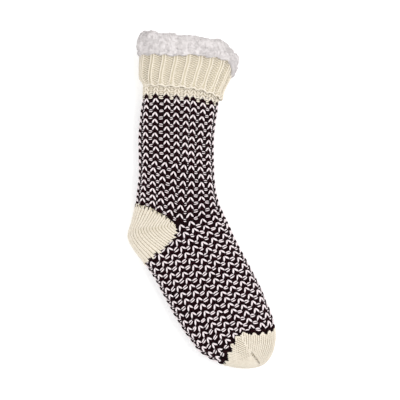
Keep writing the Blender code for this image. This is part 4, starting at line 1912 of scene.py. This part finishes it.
@dataclass
class SherpaCollar:
    """The white pile: a soft roll over the cuff's fold and the lining that goes on inside to the toe."""

    roll: Layer
    stand: Layer
    turndown: Layer
    body: Layer
    hem: SherpaHem
    pile: float = 0.0065
    tuft: float = 0.0026
    round_count: int = 260
    rows: int = 94
    swell: float = 0.16
    folds: Unevenness = Unevenness(0.017, 51)
    clumps: Unevenness = Unevenness(0.0075, 52)
    curls: Unevenness = Unevenness(0.0034, 53)
    fold_stretch: tuple[float, ...] = (1.0, 0.45, 1.0)
    plump: float = 0.35
    fold_share: float = 0.55
    clump_share: float = 0.28
    curl_share: float = 0.09
    roll_rest: float = 0.0002
    hairs: int = 5200
    hairy_from: float = 0.25
    hair_lean: tuple[float, ...] = (0.0, 0.6, 0.0)
    hair_length: tuple[float, float] = (0.004, 0.009)
    hair_height: tuple[float, float] = (0.0003, 0.0011)
    hair_curl: float = 0.0014
    hair_round: float = 0.8
    hair_sunk: float = 0.0003
    hair_radius: float = 0.00030
    hair_taper: tuple[float, ...] = (0.6, 1.0, 1.0, 1.0, 0.9, 0.5)
    hair_rest: float = 0.0004
    hair_seed: int = 55
    bury: float = 0.0010
    lumps: Unevenness = Unevenness(0.011, 57)
    lining_top: float = -0.118
    lining_steps: int = 62
    lining_toe: tuple[float, float] = (0.1, 0.86)
    lining_toe_steps: int = 10
    lining_round: int = 90
    lining_back: float = 0.0044
    lining_face: float = 0.0046
    lining_deep: float = 0.0080
    lump_middle: float = 0.6
    lump_swing: float = 0.4

    def profile(self) -> tuple[Rim, ...]:
        """Lists the lines of the roll, from inside the leg over the top to the cuff and back inside.

        Returns:
            The closed profile that is carried round.
        """
        back = KNIT_WALL + SEAM_GAP
        return (
            Rim(Fold.STAND, -0.1060, back, 0.0, 0.0, 0.0),
            Rim(Fold.STAND, -0.1060, back + 0.8 * self.pile, 0.15, 0.0, 0.0),
            Rim(Fold.STAND, -0.1280, back + self.pile, 0.24, 0.0, 0.0),
            Rim(Fold.STAND, -0.1420, back + self.pile, 0.5, 0.0, 0.0),
            Rim(Fold.STAND, CUFF_FOLD, back + self.pile, 0.5, 0.0, 0.0),
            Rim(Fold.ROLL, -0.1780, 0.0185, 0.8, ROLL_TILT, 0.0),
            Rim(Fold.ROLL, -0.1830, 0.0135, 1.0, ROLL_TILT, 0.0),
            Rim(Fold.ROLL, -0.1868, 0.0065, 1.0, ROLL_TILT, 0.0),
            Rim(Fold.ROLL, -0.1846, 0.0042, 1.0, ROLL_TILT, 0.0),
            Rim(Fold.ROLL, -0.1800, 0.0036, 1.0, ROLL_TILT, 0.0),
            Rim(Fold.ROLL, -0.1745, 0.0036, 1.0, ROLL_TILT, 0.0),
            Rim(Fold.ROLL, -0.1685, 0.0034, 1.0, ROLL_TILT, 0.2),
            Rim(Fold.ROLL, -0.1635, 0.0046, 0.8, ROLL_TILT, 0.6),
            Rim(Fold.TURNDOWN, self.hem.foot - 0.0013, -0.0010, 0.5, ROLL_TILT, 0.9),
            Rim(Fold.TURNDOWN, self.hem.foot, 0.0004, 0.2, ROLL_TILT, 1.0),
            Rim(Fold.TURNDOWN, self.hem.foot - 0.0013, 0.0030, 0.0, ROLL_TILT, 0.9),
            Rim(Fold.STAND, CUFF_FOLD - 0.0050, back, 0.0, 0.0, 0.0),
            Rim(Fold.STAND, CUFF_FOLD, back, 0.0, 0.0, 0.0),
            Rim(Fold.STAND, STAND_MIDDLE, back, 0.0, 0.0, 0.0),
        )

    def surface(self) -> tuple[Array, Array]:
        """Works out the roll's smooth surface.

        Returns:
            Points by row and place round, and the share of the tufts at each row.
        """
        layers = {Fold.ROLL: self.roll, Fold.STAND: self.stand, Fold.TURNDOWN: self.turndown}
        share = np.arange(self.round_count) / self.round_count
        lines, tufts = [], []
        for rim in self.profile():
            down = rim.dip * self.hem.drop(share)
            inset = rim.inset + self.swell * down
            lines.append(layers[rim.layer].point(rim.at + down, share, inset, rim.tilt))
            tufts.append(rim.tufts)
        lines.append(lines[0])
        tufts.append(tufts[0])
        table = np.array(lines)
        step = np.linalg.norm(np.diff(table, axis=0), axis=2).mean(axis=1)
        run = np.concatenate([[0.0], np.cumsum(step)])
        even = np.linspace(0, run[-1], self.rows, endpoint=False)
        flat = table.reshape(len(run), -1)
        smooth = np.stack([smooth_through(run, flat[:, i], even) for i in range(flat.shape[1])], axis=1)
        return smooth.reshape(self.rows, self.round_count, 3), np.interp(even, run, tufts)

    def outward(self, points: Array) -> Array:
        """Finds which way is straight out of the roll's surface.

        Args:
            points: The surface, by row and place round.

        Returns:
            Outward unit vectors.
        """
        along = np.roll(points, -1, axis=0) - np.roll(points, 1, axis=0)
        around = np.roll(points, -1, axis=1) - np.roll(points, 1, axis=1)
        return unit(np.cross(around, along))

    def lumped(self) -> tuple[Array, Array, Array]:
        """The roll's surface with its folds and tufts.

        Returns:
            Points, outward unit vectors, and the share of the tufts.
        """
        points, tufts = self.surface()
        out = self.outward(points)
        relief = self.plump - self.fold_share * self.folds.at(points * np.array(self.fold_stretch))
        relief = relief - self.clump_share * self.clumps.at(points)
        relief = relief - self.curl_share * self.curls.at(points)
        moved = points + out * (self.tuft * tufts[:, None] * relief)[..., None]
        moved[..., 2] = np.maximum(moved[..., 2], self.roll_rest)
        return moved, self.outward(moved), tufts

    def hair(self, points: Array, outs: Array, tufts: Array) -> bpy.types.Object:
        """Builds the curled hairs of the pile.

        Args:
            points: The roll's lumped surface.
            outs: Outward unit vectors there.
            tufts: Share of the tufts by row.

        Returns:
            The hairs as one object.
        """
        random = np.random.default_rng(self.hair_seed)
        along = np.linalg.norm(np.roll(points, -1, axis=0) - np.roll(points, 1, axis=0), axis=-1)
        around = np.linalg.norm(np.roll(points, -1, axis=1) - np.roll(points, 1, axis=1), axis=-1)
        area = (along * around * (tufts > self.hairy_from)[:, None]).ravel()
        chosen = random.choice(len(area), self.hairs, p=area / area.sum())
        base, out = points.reshape(-1, 3)[chosen], outs.reshape(-1, 3)[chosen]
        way = random.normal(size=base.shape) + np.array(self.hair_lean)
        way = unit(way - (way * out).sum(axis=1, keepdims=True) * out)
        side = np.cross(out, way)
        t = np.linspace(0, 1, len(self.hair_taper))
        each = (self.hairs, 1)
        length = random.uniform(*self.hair_length, each)
        height = random.uniform(*self.hair_height, each)
        curl = random.uniform(-self.hair_curl, self.hair_curl, each)
        path = base[:, None] + way[:, None] * (length * (t - 0.5))[..., None]
        rise = height * np.sin(math.pi * t) ** self.hair_round - self.hair_sunk
        rise = rise - self.bury * (2 * t - 1) ** 2
        path = path + out[:, None] * rise[..., None]
        path = path + side[:, None] * (curl * np.sin(2 * math.pi * t))[..., None]
        path[..., 2] = np.maximum(path[..., 2], self.hair_rest)
        lengths = YarnLengths("sherpa_hairs", sides=3)
        normals = np.broadcast_to(out[:, None], path.shape)
        lengths.add(path, normals, self.hair_radius * np.array(self.hair_taper))
        return lengths.build()

    def lining(self) -> bpy.types.Object:
        """Builds the pile inside the leg and foot, a lumpy sleeve with a closed toe.

        Returns:
            The sleeve.
        """
        share = np.arange(self.lining_round) / self.lining_round
        closing = np.linspace(*self.lining_toe, self.lining_toe_steps)
        stations = np.append(
            np.linspace(self.lining_top, TOE_ROOT, self.lining_steps),
            TOE_ROOT + closing * (TOE_TIP - TOE_ROOT),
        )
        rings = []
        for at in stations:
            face = self.body.under(at, share, self.lining_face)
            deep = self.body.under(at, share, self.lining_deep)
            share_in = self.lump_middle + self.lump_swing * self.lumps.at(deep)
            rings.append(face + (deep - face) * share_in[:, None])
        back = [self.body.under(at, share, self.lining_back) for at in stations[::-1]]
        return carried_round("sherpa_lining", rings + back)

    def build(self) -> None:
        """Builds and dresses the roll, its hairs and the lining."""
        points, outs, tufts = self.lumped()
        roll = carried_round("sherpa_roll", list(points))
        dress(roll, SHERPA_CLOTH, Node.COLLAR)
        dress(self.hair(points, outs, tufts), SHERPA_HAIR, Node.COLLAR)
        dress(self.lining(), SHERPA_CLOTH, None)


@dataclass
class Studio:
    """A pale floor, soft lights and a camera straight above the sock."""

    centre: tuple[float, float] = (0.030, -0.0175)
    height: float = 2.4
    frame_width: float = 0.502
    frame_level: float = 0.03
    sensor: float = 36.0
    floor_half: float = 3.0
    key_place: tuple[float, float, float] = (0.80, 0.15, 1.45)
    key_size: float = 1.1
    key_power: float = 15.0
    fill_place: tuple[float, float, float] = (-0.8, -0.1, 1.4)
    fill_size: float = 1.2
    fill_power: float = 7.5
    aim_level: float = 0.02
    surrounding: float = 0.78

    def floor(self) -> None:
        """Lays the floor."""
        mesh = bmesh.new()
        bmesh.ops.create_grid(mesh, x_segments=2, y_segments=2, size=self.floor_half)
        data = bpy.data.meshes.new("floor")
        mesh.to_mesh(data)
        mesh.free()
        data.materials.append(FLOOR_PAPER.material())
        link_mesh("floor", data)

    def softbox(self, name: str, place: tuple[float, float, float], size: float, power: float) -> None:
        """Hangs one square light that faces the sock.

        Args:
            name: Name of the light.
            place: Where it hangs.
            size: Length of its sides.
            power: Its power.
        """
        lamp = bpy.data.lights.new(name, "AREA")
        lamp.shape = "SQUARE"
        lamp.size = size
        lamp.energy = power
        obj = bpy.data.objects.new(name, lamp)
        obj.location = place
        aim = Vector((*self.centre, self.aim_level)) - Vector(place)
        obj.rotation_euler = aim.to_track_quat("-Z", "Y").to_euler()
        bpy.context.collection.objects.link(obj)

    def camera(self) -> None:
        """Sets the camera straight above, with the leg upright in the frame."""
        lens = bpy.data.cameras.new("camera")
        lens.sensor_width = self.sensor
        lens.sensor_fit = "HORIZONTAL"
        lens.lens = self.sensor * (self.height - self.frame_level) / self.frame_width
        lens.dof.use_dof = False
        obj = bpy.data.objects.new("camera", lens)
        obj.matrix_world = Matrix.Translation((*self.centre, self.height))
        bpy.context.collection.objects.link(obj)
        bpy.context.scene.camera = obj

    def build(self) -> None:
        """Builds the floor, the lights, the surrounding light and the camera."""
        self.floor()
        self.softbox("key", self.key_place, self.key_size, self.key_power)
        self.softbox("fill", self.fill_place, self.fill_size, self.fill_power)
        world = bpy.data.worlds.new("studio")
        world.use_nodes = True
        world.node_tree.nodes["Background"].inputs["Color"].default_value = (1.0, 1.0, 1.0, 1.0)
        world.node_tree.nodes["Background"].inputs["Strength"].default_value = self.surrounding
        bpy.context.scene.world = world
        bpy.context.scene.view_settings.view_transform = "Standard"
        bpy.context.scene.view_settings.look = "None"
        self.camera()


def main() -> None:
    """Builds the sock's pieces in order, then the studio."""
    logging.basicConfig(level=logging.INFO, format="%(message)s")
    body = Layer(LAST, closes=True, creases=(TOE_CREASE, TOE_RIDGE, LEG_TROUGH))
    stand = Layer(RIB_STAND)
    turndown = Layer(RIB_TURNDOWN)
    roll = Layer(SHERPA_ROLL)
    PatternedKnit(body).build()
    HeelPocket(body).build()
    ToeCap(body).build()
    hem = SherpaHem(turndown)
    RibCuff(stand, turndown, hem).build()
    SherpaCollar(roll, stand, turndown, body, hem).build()
    Studio().build()


if __name__ == "__main__":
    main()
